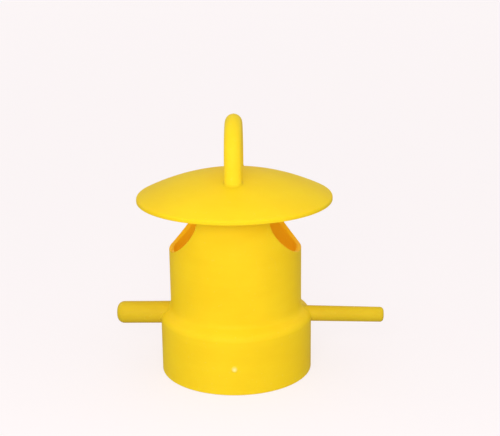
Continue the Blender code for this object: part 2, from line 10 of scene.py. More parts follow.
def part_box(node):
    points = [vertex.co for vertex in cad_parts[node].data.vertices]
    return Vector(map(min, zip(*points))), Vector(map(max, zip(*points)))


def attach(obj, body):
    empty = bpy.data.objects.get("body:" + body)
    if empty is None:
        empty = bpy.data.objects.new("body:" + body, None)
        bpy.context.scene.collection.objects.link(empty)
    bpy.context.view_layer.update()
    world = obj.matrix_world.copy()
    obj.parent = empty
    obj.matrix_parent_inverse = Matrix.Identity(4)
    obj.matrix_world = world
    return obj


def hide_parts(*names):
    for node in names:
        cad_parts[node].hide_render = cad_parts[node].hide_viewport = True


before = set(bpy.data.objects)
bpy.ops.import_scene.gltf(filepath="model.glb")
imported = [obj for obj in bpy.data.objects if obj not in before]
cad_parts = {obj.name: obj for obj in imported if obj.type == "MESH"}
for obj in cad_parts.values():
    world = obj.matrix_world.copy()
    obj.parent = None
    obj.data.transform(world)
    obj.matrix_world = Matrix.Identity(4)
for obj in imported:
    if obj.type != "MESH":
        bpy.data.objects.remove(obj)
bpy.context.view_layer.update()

mm = 0.001
print("frame loaded:", len(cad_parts), "nodes")


# node trees: sockets that take Python's operators

class Wire:
    def __init__(self, tree, socket):
        self.tree = tree
        self.socket = socket

    def __add__(self, other):
        return self.tree.maths("ADD", self, other)

    __radd__ = __add__

    def __sub__(self, other):
        return self.tree.maths("SUBTRACT", self, other)

    def __rsub__(self, other):
        return self.tree.maths("SUBTRACT", other, self)

    def __mul__(self, other):
        return self.tree.maths("MULTIPLY", self, other)

    __rmul__ = __mul__

    def __truediv__(self, other):
        return self.tree.maths("DIVIDE", self, other)

    def __rtruediv__(self, other):
        return self.tree.maths("DIVIDE", other, self)


class Tree:
    def __init__(self, nodeTree):
        self.made = nodeTree

    def join(self, value, socket):
        if isinstance(value, Wire):
            self.made.links.new(value.socket, socket)
        else:
            socket.default_value = value

    def node(self, kind, settings=None, inputs=None, give=0):
        made = self.made.nodes.new(kind)
        for key, value in (settings or {}).items():
            if key == "stops":                      # a ramp's (place, grey or colour) pairs
                fillRamp(made.color_ramp, value)
            else:
                setattr(made, key, value)
        for key, value in (inputs or {}).items():
            self.join(value, made.inputs[key])
        return Wire(self, made.outputs[give])

    def maths(self, operation, *values):
        return self.node("ShaderNodeMath", {"operation": operation}, dict(enumerate(values)))


def fillRamp(ramp, stops):
    while len(ramp.elements) < len(stops):
        ramp.elements.new(0.5)
    for element, (place, tone) in zip(ramp.elements, stops):
        element.position = place
        element.color = (tone, tone, tone, 1) if isinstance(tone, float) else (*tone, 1)


class Look(Tree):                                   # one material and its shader
    def __init__(self, name):
        self.material = bpy.data.materials.new(name)
        self.material.use_nodes = True
        super().__init__(self.material.node_tree)
        self.shader = self.made.nodes["Principled BSDF"]
        self.place = self.node("ShaderNodeTexCoord", give="Object")

    def set(self, **values):
        for key, value in values.items():
            self.join(value, self.shader.inputs[key.replace("_", " ")])
        return self.material

    def noise(self, scale, detail, rough, stretch=None, shift=(0, 0, 0)):
        where = self.place
        if stretch:
            where = self.node("ShaderNodeMapping", None,
                              {"Vector": where, "Scale": stretch, "Location": shift})
        return self.node("ShaderNodeTexNoise", None, {"Vector": where, "Scale": scale,
                                                      "Detail": detail, "Roughness": rough})

    def ramp(self, value, stops):
        return self.node("ShaderNodeValToRGB", {"stops": stops}, {"Fac": value})

    def mix(self, factor, first, second, way="MIX"):
        made = self.made.nodes.new("ShaderNodeMix")
        made.data_type = "RGBA"
        made.blend_type = way
        for socket, value in ((made.inputs[0], factor), (made.inputs[6], first), (made.inputs[7], second)):
            if isinstance(value, tuple):
                value = (*value, 1)
            self.join(value, socket)
        return Wire(self, made.outputs[2])

    def bump(self, height, distance, strength, under=None):
        inputs = {"Height": height, "Distance": distance, "Strength": strength}
        if under:
            inputs["Normal"] = under
        return self.node("ShaderNodeBump", None, inputs)


# finishes

plasticValues = {
    "hood": {"colour": (0.970, 0.665, 0.016), "deep": (0.935, 0.620, 0.013), "gloss": 0.46},
    # loop: a lighter copy of the same yellow plastic, painted light
    "loop": {"colour": (0.985, 0.700, 0.024), "deep": (0.965, 0.665, 0.020), "gloss": 0.44},
    "barrel": {"colour": (0.965, 0.655, 0.017), "deep": (0.930, 0.610, 0.013), "gloss": 0.48},
    # arm: a darker copy of the same yellow plastic, painted shade on the side rods
    "arm": {"colour": (0.755, 0.530, 0.022), "deep": (0.700, 0.480, 0.018), "gloss": 0.48},
    # collar: a tone between arm and barrel that eases the arm's painted shade into the barrel's yellow
    "collar": {"colour": (0.850, 0.590, 0.020), "deep": (0.800, 0.540, 0.016), "gloss": 0.48},
    # inner: a darker, more orange copy of the same yellow for the parts inside, painted shade
    "inner": {"colour": (0.930, 0.585, 0.014), "deep": (0.890, 0.545, 0.011), "gloss": 0.50},
    # inside: a more orange copy of the same yellow with a glow, painted light in the bore behind the
    # windows
    "inside": {"colour": (0.960, 0.600, 0.016), "deep": (0.920, 0.560, 0.013), "gloss": 0.50,
               "glow": 0.29, "tint": (1.0, 0.68, 0.5)},
}
plasticDepth = {"scatter": (1.0, 0.8, 0.2), "scatterScale": 0.0015, "scatterWeight": 0.3, "specular": 0.05}


def mouldedPlastic(name, values):
    look = Look(name)
    cloud = look.noise(38, 3, 0.55)                                 # broad tone of the pigment
    flow = look.noise(26, 4, 0.6, stretch=(1, 1, 5), shift=(3, 1, 0))   # flow of the melt
    tone = look.ramp(cloud * 0.6 + flow * 0.4, [(0.38, 0.0), (0.64, 1.0)])
    colour = look.mix(tone, values["colour"], values["deep"])
    speck = look.ramp(look.noise(620, 2, 0.5), [(0.66, 0.0), (0.74, 1.0)])
    colour = look.mix(speck * 0.10, colour, (0.98, 0.80, 0.22))     # pale unmixed specks
    hair = look.noise(240, 3, 0.7, stretch=(1, 1, 14), shift=(0, 5, 2))
    across = look.noise(210, 3, 0.7, stretch=(9, 9, 1), shift=(7, 0, 1))
    scuff = look.ramp(hair.tree.maths("MAXIMUM", hair, across), [(0.66, 0.0), (0.74, 1.0)])
    spread = look.noise(60, 2, 0.5, stretch=(1, 1, 1), shift=(2, 8, 4))
    patch = look.ramp(spread, [(0.5, 0.0), (0.62, 1.0)])
    worn = scuff * patch
    colour = look.mix(worn * 0.16, colour, (0.99, 0.83, 0.32))      # fine rub marks turn paler
    satin = look.noise(90, 4, 0.6)
    rough = satin * 0.10 + (values["gloss"] - 0.05) + worn * 0.14
    peel = look.noise(820, 2, 0.45)
    skin = look.bump(peel, 0.00003, 0.35)
    swell = look.bump(look.noise(70, 2, 0.5), 0.00035, 0.35, under=skin)    # faint sink marks
    scratched = look.bump(worn, 0.00003, 0.5, under=swell)
    look.shader.inputs["Subsurface Radius"].default_value = plasticDepth["scatter"]
    look.shader.inputs["Subsurface Scale"].default_value = plasticDepth["scatterScale"]
    look.shader.inputs["Subsurface Weight"].default_value = plasticDepth["scatterWeight"]
    look.shader.inputs["Specular IOR Level"].default_value = plasticDepth["specular"]
    if "glow" in values:                            # painted light: a glow that stands in for daylight coming through the thin wall
        patchy = look.node("ShaderNodeVectorMath", {"operation": "SCALE"},
                           {"Vector": colour, "Scale": cloud * 0.3 + 0.85})
        look.shader.inputs["Emission Strength"].default_value = values["glow"]
        look.set(Emission_Color=look.mix(1.0, patchy, values["tint"], way="MULTIPLY"))
    return look.set(Base_Color=colour, Roughness=rough, Normal=scratched)


def brushedSteel(name, along=(1, 1, 30)):
    look = Look(name)
    brush = look.noise(900, 3, 0.6, stretch=along)
    stain = look.ramp(look.noise(160, 3, 0.6), [(0.45, 0.0), (0.75, 1.0)])
    colour = look.mix(brush, (0.60, 0.60, 0.58), (0.72, 0.72, 0.70))
    colour = look.mix(stain * 0.35, colour, (0.40, 0.36, 0.30))     # a little dull oxide
    rough = brush * 0.16 + 0.20 + stain * 0.18
    return look.set(Base_Color=colour, Roughness=rough, Metallic=1.0,
                    Normal=look.bump(brush, 0.00002, 0.5))


def naturalPlastic(name):
    look = Look(name)
    cloud = look.noise(120, 3, 0.5)
    colour = look.mix(cloud, (0.84, 0.83, 0.78), (0.76, 0.74, 0.67))
    peel = look.noise(1500, 2, 0.5)
    look.shader.inputs["Subsurface Weight"].default_value = 0.25
    look.shader.inputs["Subsurface Radius"].default_value = (1.0, 0.9, 0.7)
    look.shader.inputs["Subsurface Scale"].default_value = 0.002
    return look.set(Base_Color=colour, Roughness=cloud * 0.15 + 0.32, Normal=look.bump(peel, 0.00002, 0.4))


def rubber(name, light, dark):
    look = Look(name)
    cloud = look.noise(180, 4, 0.6)
    dust = look.ramp(look.noise(420, 5, 0.7), [(0.52, 0.0), (0.72, 1.0)])
    colour = look.mix(cloud, light, dark)
    colour = look.mix(dust * 0.18, colour, (0.62, 0.55, 0.48))      # bloom on the skin
    grit = look.noise(1400, 3, 0.6)
    return look.set(Base_Color=colour, Roughness=dust * 0.15 + 0.68, Normal=look.bump(grit, 0.00004, 0.6))


def felt(name):
    look = Look(name)
    lint = look.noise(700, 6, 0.75)
    fibre = look.noise(420, 5, 0.7, stretch=(6, 1, 1))
    cross = look.noise(420, 5, 0.7, stretch=(1, 7, 2), shift=(4, 4, 4))
    tangle = look.maths("MAXIMUM", fibre, cross)
    soak = look.ramp(look.noise(90, 3, 0.6), [(0.42, 0.0), (0.62, 1.0)])
    colour = look.mix(tangle, (0.62, 0.57, 0.42), (0.86, 0.83, 0.70))
    colour = look.mix(soak * 0.4, colour, (0.66, 0.56, 0.30))       # where the agent has soaked in
    nap = look.bump(tangle + lint, 0.00022, 0.7)
    return look.set(Base_Color=colour, Roughness=lint * 0.1 + 0.86, Normal=nap)


finish = {
    "hood": mouldedPlastic("yellowHood", plasticValues["hood"]),
    "loop": mouldedPlastic("yellowLoop", plasticValues["loop"]),
    "barrel": mouldedPlastic("yellowBarrel", plasticValues["barrel"]),
    "arm": mouldedPlastic("yellowArm", plasticValues["arm"]),
    "collar": mouldedPlastic("yellowCollar", plasticValues["collar"]),
    "inner": mouldedPlastic("yellowInner", plasticValues["inner"]),
    "inside": mouldedPlastic("yellowInside", plasticValues["inside"]),
    "pin": brushedSteel("pinSteel"),
    "wire": brushedSteel("wireSteel", along=(30, 1, 1)),
    "screen": brushedSteel("screenSteel", along=(1, 1, 1)),
    "cage": naturalPlastic("naturalPlastic"),
    "lure": rubber("redRubber", (0.42, 0.085, 0.040), (0.33, 0.060, 0.030)),
    "seal": rubber("blackRubber", (0.030, 0.030, 0.030), (0.018, 0.018, 0.018)),
    "felt": felt("soakedFelt"),
}
print("finishes made:", len(finish))


# mesh tools, all in millimetres until the mesh is made

def roundedLine(corners, spacing=1.4, turns=6, closed=False):
    # corners are (radius, height, fillet); straight runs get points at the spacing and close to their ends
    count = len(corners)
    points = [Vector((c[0], c[1])) for c in corners]
    runs = []
    for i, corner in enumerate(corners):
        here = points[i]
        size = corner[2] if len(corner) > 2 else 0.0
        ends = not closed and i in (0, count - 1)
        if ends or size <= 0:
            runs.append([here])
            continue
        before = (points[i - 1] - here).normalized()
        after = (points[(i + 1) % count] - here).normalized()
        half = before.angle(after) / 2
        middle = here + (before + after).normalized() * (size / math.sin(half))
        start = here + before * (size / math.tan(half))
        end = here + after * (size / math.tan(half))
        first, last = start - middle, end - middle
        turn = first.angle_signed(last)
        steps = max(2, math.ceil(turns * abs(turn) / (math.pi / 2)))
        runs.append([middle + Matrix.Rotation(-turn * k / steps, 2) @ first for k in range(steps + 1)])
    line = []
    for i, run in enumerate(runs):
        line += run
        if i == count - 1 and not closed:
            break
        start, end = run[-1], runs[(i + 1) % count][0]
        length = (end - start).length
        parts = max(1, math.ceil(length / spacing))
        cuts = {k / parts for k in range(1, parts)}
        if length > 1.2:
            cuts |= {0.25 / length, 1 - 0.25 / length}
        line += [start.lerp(end, cut) for cut in sorted(cuts)]
    return [(p.x, p.y) for p in line]


def latheMesh(name, line, steps=160, closed=False, angles=None):
    turnsRound = angles is None
    angles = [math.tau * k / steps for k in range(steps)] if turnsRound else angles
    points, rings = [], []
    for radius, height in line:
        if radius < 1e-6:
            rings.append([len(points)] * len(angles))
            points.append((0, 0, height))
        else:
            rings.append(list(range(len(points), len(points) + len(angles))))
            points += [(radius * math.cos(a), radius * math.sin(a), height) for a in angles]
    faces = []
    spans = list(zip(rings, rings[1:])) + ([(rings[-1], rings[0])] if closed else [])
    for upper, lower in spans:
        for k in range(len(angles) if turnsRound else len(angles) - 1):
            n = (k + 1) % len(angles)
            corners = [upper[k], lower[k], lower[n], upper[n]]
            faces.append([c for i, c in enumerate(corners) if c not in corners[:i]])
    return meshFrom(name, points, faces)


def meshFrom(name, points, faces):
    mesh = bpy.data.meshes.new(name)
    mesh.from_pydata([Vector(p) * mm for p in points], [], [f for f in faces if len(f) > 2])
    return mesh


def cleaned(mesh, weld=0.002):
    shape = bmesh.new()
    shape.from_mesh(mesh)
    bmesh.ops.remove_doubles(shape, verts=shape.verts, dist=weld * mm)
    bmesh.ops.recalc_face_normals(shape, faces=shape.faces)
    shape.to_mesh(mesh)
    shape.free()
    return mesh


def joined(name, meshes):
    shape = bmesh.new()
    for mesh in meshes:
        shape.from_mesh(mesh)
    result = bpy.data.meshes.new(name)
    shape.to_mesh(result)
    shape.free()
    return result


def moved(mesh, matrix):
    mesh.transform(matrix)
    if matrix.determinant() < 0:
        mesh.flip_normals()
    return mesh


def at(x, y, z):
    return Matrix.Translation(Vector((x, y, z)) * mm)


def turned(degrees, axis):
    return Matrix.Rotation(math.radians(degrees), 4, axis)


def rodMesh(name, centres, radius, sides, closed=False, shape=None):
    # a round rod along a list of points; shape gives the radius at an angle round it
    centres = [Vector(c) for c in centres]
    count = len(centres)
    points, faces = [], []
    side = None
    for i, centre in enumerate(centres):
        ahead = centres[(i + 1) % count] if closed or i < count - 1 else centre
        behind = centres[i - 1] if closed or i > 0 else centre
        heading = (ahead - behind).normalized()
        if side is None:
            side = heading.orthogonal().normalized() if shape is None else Vector((1, 0, 0))
        side = (side - heading * side.dot(heading)).normalized()
        up = heading.cross(side)
        for k in range(sides):
            angle = math.tau * k / sides
            size = radius if shape is None else shape(angle)
            points.append(centre + side * (size * math.cos(angle)) + up * (size * math.sin(angle)))
    for i in range(count if closed else count - 1):
        for k in range(sides):
            n = (k + 1) % sides
            j = (i + 1) % count
            faces.append((i * sides + k, i * sides + n, j * sides + n, j * sides + k))
    if not closed:
        faces.append(tuple(range(sides))[::-1])
        faces.append(tuple(range((count - 1) * sides, count * sides)))
    return cleaned(meshFrom(name, points, faces))


def boxMesh(name, size, centre):
    shape = bmesh.new()
    bmesh.ops.create_cube(shape, size=1.0)
    bmesh.ops.scale(shape, vec=Vector(size) * mm, verts=shape.verts)
    bmesh.ops.translate(shape, vec=Vector(centre) * mm, verts=shape.verts)
    mesh = bpy.data.meshes.new(name)
    shape.to_mesh(mesh)
    shape.free()
    return mesh


def evaluatedMesh(item):
    bpy.context.view_layer.update()
    ready = item.evaluated_get(bpy.context.evaluated_depsgraph_get())
    mesh = bpy.data.meshes.new_from_object(ready)
    bpy.data.objects.remove(item, do_unlink=True)
    return mesh


def helperObject(name, mesh):
    item = bpy.data.objects.new(name, mesh)
    bpy.context.scene.collection.objects.link(item)
    return item


def carved(mesh, changes, bevel=0.0):
    # changes are (operation, other mesh) pairs, then an optional bevel in mm
    base = helperObject("carving", mesh)
    others = []
    for operation, other in changes:
        tool = helperObject("tool", other)
        others.append(tool)
        change = base.modifiers.new("change", "BOOLEAN")
        change.operation = operation
        change.object = tool
        change.solver = "EXACT"
    if bevel:
        edge = base.modifiers.new("edge", "BEVEL")
        edge.width = bevel * mm
        edge.segments = 3
        edge.limit_method = "ANGLE"
        edge.angle_limit = math.radians(40)
    result = evaluatedMesh(base)
    for tool in others:
        bpy.data.objects.remove(tool, do_unlink=True)
    return result


def addPiece(name, mesh, body, material, nodes=(), sharp=None):
    item = bpy.data.objects.new(name, mesh)
    bpy.context.scene.collection.objects.link(item)
    mesh.materials.clear()
    mesh.materials.append(material)
    mesh.shade_smooth()
    if sharp:
        mesh.set_sharp_from_angle(angle=math.radians(sharp))
    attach(item, body)
    if nodes:
        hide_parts(*nodes)
    return item


# geometry node tools

class Growth(Tree):                                 # a geometry node tree with named inputs
    def __init__(self, name):
        super().__init__(bpy.data.node_groups.new(name, "GeometryNodeTree"))
        self.made.interface.new_socket("Geometry", in_out="OUTPUT", socket_type="NodeSocketGeometry")
        self.kinds = {}

    def input(self, name, kind="NodeSocketFloat"):
        self.made.interface.new_socket(name, in_out="INPUT", socket_type=kind)
        self.kinds[name] = kind

    def start(self):
        self.source = self.made.nodes.new("NodeGroupInput")

    def get(self, name):
        return Wire(self, self.source.outputs[name])

    def end(self, geometry, material):
        real = self.node("GeometryNodeRealizeInstances", None, {"Geometry": geometry})
        painted = self.node("GeometryNodeSetMaterial", None, {"Geometry": real, "Material": material})
        out = self.made.nodes.new("NodeGroupOutput")
        self.join(painted, out.inputs[0])

    def grow(self, name, values):
        item = helperObject(name, bpy.data.meshes.new(name))
        modifier = item.modifiers.new(name, "NODES")
        modifier.node_group = self.made
        for socket in self.made.interface.items_tree:
            if socket.in_out == "INPUT" and socket.name in values:
                modifier[socket.identifier] = values[socket.name]
        return evaluatedMesh(item)


def combineXyz(tree, x, y, z):
    return tree.node("ShaderNodeCombineXYZ", None, {"X": x, "Y": y, "Z": z})


def ringOfBlocks(name, material):
    # blocks spaced evenly round the Z axis: ribs under the hood, knurls on the cap
    tree = Growth(name)
    tree.input("Count", "NodeSocketInt")
    for word in ("Radius", "Height", "Length", "Width", "Depth", "Tilt"):
        tree.input(word)
    tree.start()
    size = combineXyz(tree, tree.get("Length"), tree.get("Width"), tree.get("Depth"))
    block = tree.node("GeometryNodeMeshCube", None, {"Size": size, "Vertices X": 2, "Vertices Y": 2,
                                                     "Vertices Z": 2})
    tilted = tree.node("GeometryNodeTransform", None,
                       {"Geometry": block, "Rotation": combineXyz(tree, 0.0, tree.get("Tilt"), 0.0)})
    outwards = tree.node("GeometryNodeTransform", None,
                         {"Geometry": tilted,
                          "Translation": combineXyz(tree, tree.get("Radius"), 0.0, tree.get("Height"))})
    spots = tree.node("GeometryNodeMeshLine", {"mode": "OFFSET"},
                      {"Count": tree.get("Count"), "Offset": (0, 0, 0)})
    number = tree.node("GeometryNodeInputIndex")
    turn = number * (math.tau / tree.get("Count"))
    ring = tree.node("GeometryNodeInstanceOnPoints", None,
                     {"Points": spots, "Instance": outwards, "Rotation": combineXyz(tree, 0.0, 0.0, turn)})
    tree.end(ring, material)
    return tree


def wireRing(name, material):
    # a welded wire grid, trimmed to a ring
    tree = Growth(name)
    tree.input("Lines", "NodeSocketInt")
    for word in ("Outer", "Inner", "Wire", "Height"):
        tree.input(word)
    tree.start()
    across = tree.get("Outer") * 2.0
    grid = tree.node("GeometryNodeMeshGrid", None, {"Size X": across, "Size Y": across,
                                                    "Vertices X": tree.get("Lines"),
                                                    "Vertices Y": tree.get("Lines")})
    here = tree.node("GeometryNodeInputPosition")
    reach = tree.node("ShaderNodeVectorMath", {"operation": "LENGTH"}, {0: here}, give="Value")
    outside = tree.maths("GREATER_THAN", reach, tree.get("Outer"))
    inside = tree.maths("LESS_THAN", reach, tree.get("Inner"))
    trimmed = tree.node("GeometryNodeDeleteGeometry", None,
                        {"Geometry": grid, "Selection": tree.maths("MAXIMUM", outside, inside)})
    lines = tree.node("GeometryNodeMeshToCurve", None, {"Mesh": trimmed})
    circle = tree.node("GeometryNodeCurvePrimitiveCircle", None,
                       {"Resolution": 6, "Radius": tree.get("Wire")})
    wires = tree.node("GeometryNodeCurveToMesh", None, {"Curve": lines, "Profile Curve": circle})
    lifted = tree.node("GeometryNodeTransform", None,
                       {"Geometry": wires, "Translation": combineXyz(tree, 0.0, 0.0, tree.get("Height"))})
    tree.end(lifted, material)
    return tree


# sizes read from the frame, in millimetres

def nodeBox(node):
    low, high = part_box(node)
    return low / mm, high / mm


hoodLow, hoodHigh = nodeBox("rain_hood")
barrelLow, barrelHigh = nodeBox("barrel")
loopLow, loopHigh = nodeBox("hanging_loop")
keeperLow, keeperHigh = nodeBox("loop_keeper")


# rain hood

hood = {
    "radius": hoodHigh.x,
    "crown": hoodHigh.z,
    "spigotBottom": hoodLow.z,
    "brim": hoodLow.z + 1.2,        # underside of the brim's edge
    "rise": 12.6,
    "sweep": 2.0,                   # power of the dome curve
    "wall": 2.4,
    "edgeRound": 1.0,
    "spigotRadius": 31.3,
    "spigotWall": 2.4,
    "bossRadius": 7.0,
    "bossBottom": keeperHigh.z + 0.3,
    "legPlace": (loopHigh.y - loopLow.y) / 2 - loopHigh.x,
    "legHole": loopHigh.x + 0.3,
    "collar": 0.8,                  # blend between a leg and the dome
    "bead": 3.3,                    # middle of the snap bead above the spigot's lower edge
    "beadReach": 0.2,
    "ribs": 16,
    "ribPlace": 40.6,               # from the axis to the middle of a rib
    "ribLength": 11.0,
    "ribWidth": 1.1,
    "ribDepth": 1.2,
    "steps": 224,
}


def domeTop(radius):
    return hood["crown"] - hood["rise"] * (abs(radius) / hood["radius"]) ** hood["sweep"]


def blendCollar(name, radius, surface, size):
    # a smooth fillet where a rod along +Z meets a surface of height surface(x, y)
    angles, turns = 72, 7
    sink = 0.5                                      # how deep its foot goes into the surface
    points, faces = [], []
    for k in range(angles):
        angle = math.tau * k / angles
        c, s = math.cos(angle), math.sin(angle)
        foot = surface(c * radius, s * radius)
        far = surface(c * (radius + size), s * (radius + size))
        top = Vector((radius, foot + size))
        corner = Vector((radius, foot))
        end = Vector((radius + size, far))
        row = [Vector((radius - 0.15, foot + size * 0.9)), top]
        for i in range(1, turns + 1):
            t = i / turns
            row.append(top * (1 - t) ** 2 + corner * (2 * t * (1 - t)) + end * t ** 2)
        row += [end + Vector((0.1, -sink)), Vector((radius - 0.15, foot - sink))]
        points += [(c * r, s * r, h) for r, h in row]
    width = turns + 4
    for k in range(angles):
        n = (k + 1) % angles
        for i in range(width):
            j = (i + 1) % width
            faces.append((k * width + i, k * width + j, n * width + j, n * width + i))
    return cleaned(meshFrom(name, points, faces))


def makeHood():
    wall = hood["wall"]
    edge = hood["radius"]

    def under(radius):
        return domeTop(radius) - wall

    edgeFlat, ceilingFlat = 1.3, 2.0                # what each curve leaves for the fillet at its end
    outside = [(r, domeTop(r)) for r in np.linspace(0, edge - edgeFlat, 56)]
    rim = [(edge, domeTop(edge), hood["edgeRound"]), (edge, hood["brim"], 0.35),
           (edge - wall, hood["brim"], 0.3), (edge - wall, under(edge - wall), 0.3)]
    outer = hood["spigotRadius"]
    inner = outer - hood["spigotWall"]
    below = [(r, under(r)) for r in np.linspace(edge - wall - 2.1, outer + ceilingFlat, 12)]
    bottom = hood["spigotBottom"]
    bead = bottom + hood["bead"]
    proud = outer + hood["beadReach"]
    spigot = [(outer, under(outer), 1.0), (outer, bead + 0.9, 0.3), (proud, bead + 0.4, 0.2),
              (proud, bead - 0.1, 0.2), (outer, bead - 0.6, 0.3),
              (outer, bottom, 0.6), (inner, bottom, 0.6), (inner, under(inner), 1.0)]
    ceiling = [(r, under(r)) for r in np.linspace(inner - ceilingFlat, 0, 24)]
    line = roundedLine(outside + rim + below + spigot + ceiling, spacing=1.5)
    shell = cleaned(latheMesh("hoodShell", line, hood["steps"]))
    parts = [shell]
    for side in (-1, 1):
        place = side * hood["legPlace"]
        lift = domeTop(place) - wall / 2 - hood["bossBottom"]
        boss = roundedLine([(0, lift), (hood["bossRadius"], lift), (hood["bossRadius"], 0, 0.5),
                            (hood["legHole"], 0, 0.2), (hood["legHole"], 1.0), (0, 1.0)], spacing=0.8)
        bossMesh = cleaned(latheMesh("boss", boss, 64))
        for corner in bossMesh.vertices:            # the top follows the slope of the dome
            if corner.co.z > (lift - 0.4) * mm:
                reach = math.hypot(corner.co.x, corner.co.y + place * mm) / mm
                corner.co.z = (domeTop(reach) - 0.9 - hood["bossBottom"]) * mm
        parts.append(moved(bossMesh, at(0, place, hood["bossBottom"])))

        def surface(x, y):
            return domeTop(math.hypot(x, y + place))

        parts.append(moved(blendCollar("legCollar", loopHigh.x, surface, hood["collar"]), at(0, place, 0)))
    mesh = joined("hoodShell", parts)
    addPiece("hoodShell", mesh, "hood", finish["hood"], ["rain_hood"])
    slope = math.atan((under(36) - under(46)) / 10)     # the ribs lie along the underside of the dome
    ribHeight = under(hood["ribPlace"]) - 0.1
    ribs = ringOfBlocks("hoodRibs", finish["hood"])
    mesh = ribs.grow("hoodRibs", {
        "Count": hood["ribs"], "Radius": hood["ribPlace"] * mm, "Height": ribHeight * mm,
        "Length": hood["ribLength"] * mm, "Width": hood["ribWidth"] * mm, "Depth": hood["ribDepth"] * mm,
        "Tilt": slope})
    addPiece("hoodRibs", carved(mesh, [], bevel=0.2), "hood", finish["hood"], sharp=40)


makeHood()
print("hood made")


# hanging loop

loop = {
    "rod": loopHigh.x,
    "bend": (loopHigh.y - loopLow.y) / 2 - loopHigh.x,
    "foot": loopLow.z,
    "ridge": 0.05,                  # height of the parting line left by the mould
    "ridgeSpread": 0.05,            # its half width, as an angle
    "sides": 48,
}


def makeLoop():
    bend = loop["bend"]
    centre = loopHigh.z - loop["rod"] - bend
    leg = np.linspace(loop["foot"] + 0.5, centre - 0.6, 26)
    path = [(0, -bend, h) for h in leg]
    path += [(0, -bend * math.cos(a), centre + bend * math.sin(a)) for a in np.linspace(0, math.pi, 97)]
    path += [(0, bend, h) for h in leg[::-1]]

    def section(angle):
        near = min(abs(angle - math.pi / 2), abs(angle - 3 * math.pi / 2))
        return loop["rod"] - loop["ridge"] + loop["ridge"] * math.exp(-(near / loop["ridgeSpread"]) ** 2)

    parts = [rodMesh("loopRod", path, loop["rod"], loop["sides"], shape=section)]
    tipRadius, tipHeight = loop["rod"] - 0.1, 0.8
    for side in (-1, 1):                            # rounded leg ends
        tip = roundedLine([(0, 0), (tipRadius, 0, 0.5), (tipRadius, tipHeight), (0, tipHeight)], 0.8)
        tipMesh = cleaned(latheMesh("legTip", tip, loop["sides"]))
        parts.append(moved(tipMesh, at(0, side * bend, loop["foot"])))
    addPiece("loopRod", joined("loopRod", parts), "hood", finish["loop"],
             ["hanging_loop"], sharp=50)


makeLoop()
print("loop made")


# keeper bar and pins under the crown

keeper = {
    "round": 0.45,
    "lugWidth": 8.0,
    "lugThick": 2.2,
    "eye": 2.4,
    "eyeDrop": 5.6,                 # from the bar's underside
    "bar": 2.4,
    "legHole": loopHigh.x + 0.3,
    "notch": 2.6,                   # radius and place of the two holes that save material
    "notchPlace": 8.6,
    "pinRound": 0.35,
}


def cylinderMesh(name, radius, length, matrix, sides=48):
    line = [(0, length / 2), (radius, length / 2), (radius, -length / 2), (0, -length / 2)]
    return moved(cleaned(latheMesh(name, line, sides)), matrix)


def makeKeeper():
    top = keeperHigh.z
    under = top - keeper["bar"]
    size = keeperHigh - keeperLow
    bar = boxMesh("bar", (size.x, size.y, keeper["bar"]), (0, 0, top - keeper["bar"] / 2))
    lugHeight = under - keeperLow.z + 1.0
    lug = boxMesh("lug", (keeper["lugThick"], keeper["lugWidth"], lugHeight),
                  (0, 0, keeperLow.z + lugHeight / 2))
    eye = cylinderMesh("eye", keeper["eye"], 10, at(0, 0, under - keeper["eyeDrop"]) @ turned(90, "Y"))
    changes = [("UNION", lug), ("DIFFERENCE", eye)]
    for side in (-1, 1):
        hole = cylinderMesh("legHole", keeper["legHole"], 10, at(0, side * loop["bend"], top - 1))
        changes.append(("DIFFERENCE", hole))
        notch = cylinderMesh("notch", keeper["notch"], 10, at(0, side * keeper["notchPlace"], top - 1))
        changes.append(("DIFFERENCE", notch))
    mesh = carved(bar, changes, bevel=keeper["round"])
    addPiece("keeperBar", mesh, "hood", finish["inner"], ["loop_keeper"], sharp=45)


def pinMesh(name, low, high, axis):
    size = high - low
    centre = (high + low) / 2
    length = size[axis]
    radius = (size[(axis + 1) % 3]) / 2
    line = roundedLine([(0, length / 2), (radius, length / 2, keeper["pinRound"]),
                        (radius, -length / 2, keeper["pinRound"]), (0, -length / 2)], 0.8)
    turn = turned(90, "Y") if axis == 0 else turned(90, "X")
    return moved(cleaned(latheMesh(name, line, 32)), at(*centre) @ turn)


def makePins():
    table = (("keeper_pin_front", "keeperPinFront", "hood", 0),
             ("keeper_pin_back", "keeperPinBack", "hood", 0),
             ("left_arm_pin", "leftArmPin", "barrel", 1),
             ("right_arm_pin", "rightArmPin", "barrel", 1))
    for node, name, body, axis in table:
        low, high = nodeBox(node)
        addPiece(name, pinMesh(name, low, high, axis), body, finish["pin"], [node], sharp=50)


makeKeeper()
makePins()
print("keeper and pins made")


# barrel

barrel = {
    "upper": 34.1,
    "wall": 2.5,
    "top": barrelHigh.z,
    "skirt": barrelHigh.y,
    "skirtWall": 2.45,
    "stepTop": 33.8,
    "stepBottom": 30.0,
    "stepHollow": 3.0,              # fillet where the step meets the upper wall
    "stepRound": 4.2,               # fillet where it meets the skirt
    "foot": 0.3,                    # fillet of the outer lower edge
    "seat": 25.8,                   # ledge that the cup's seal meets
    "seatWidth": 2.2,               # from the ledge's inner edge to the wall, and the slope above it
    "seatSlope": 3.6,
    "ribTop": 57.6,                 # rib that the funnel rests on
    "ribReach": 2.0,
    "ribHeight": 1.8,
    "windowHalf": 29.0,
    "windowCorner": 22.5,           # radius of its lower corners
    "windowLow": 65.8,
    "windowEdge": 0.55,             # how far the edge rounding reaches
    "steps": 216,
    "outerJoin": 42.0,              # where the turned lower part meets the pierced upper wall
    "innerJoin": 60.5,
    "grain": 1.9,                   # spacing of points on the walls
    "clear": 0.75,                  # space between those points and the wall's border
}


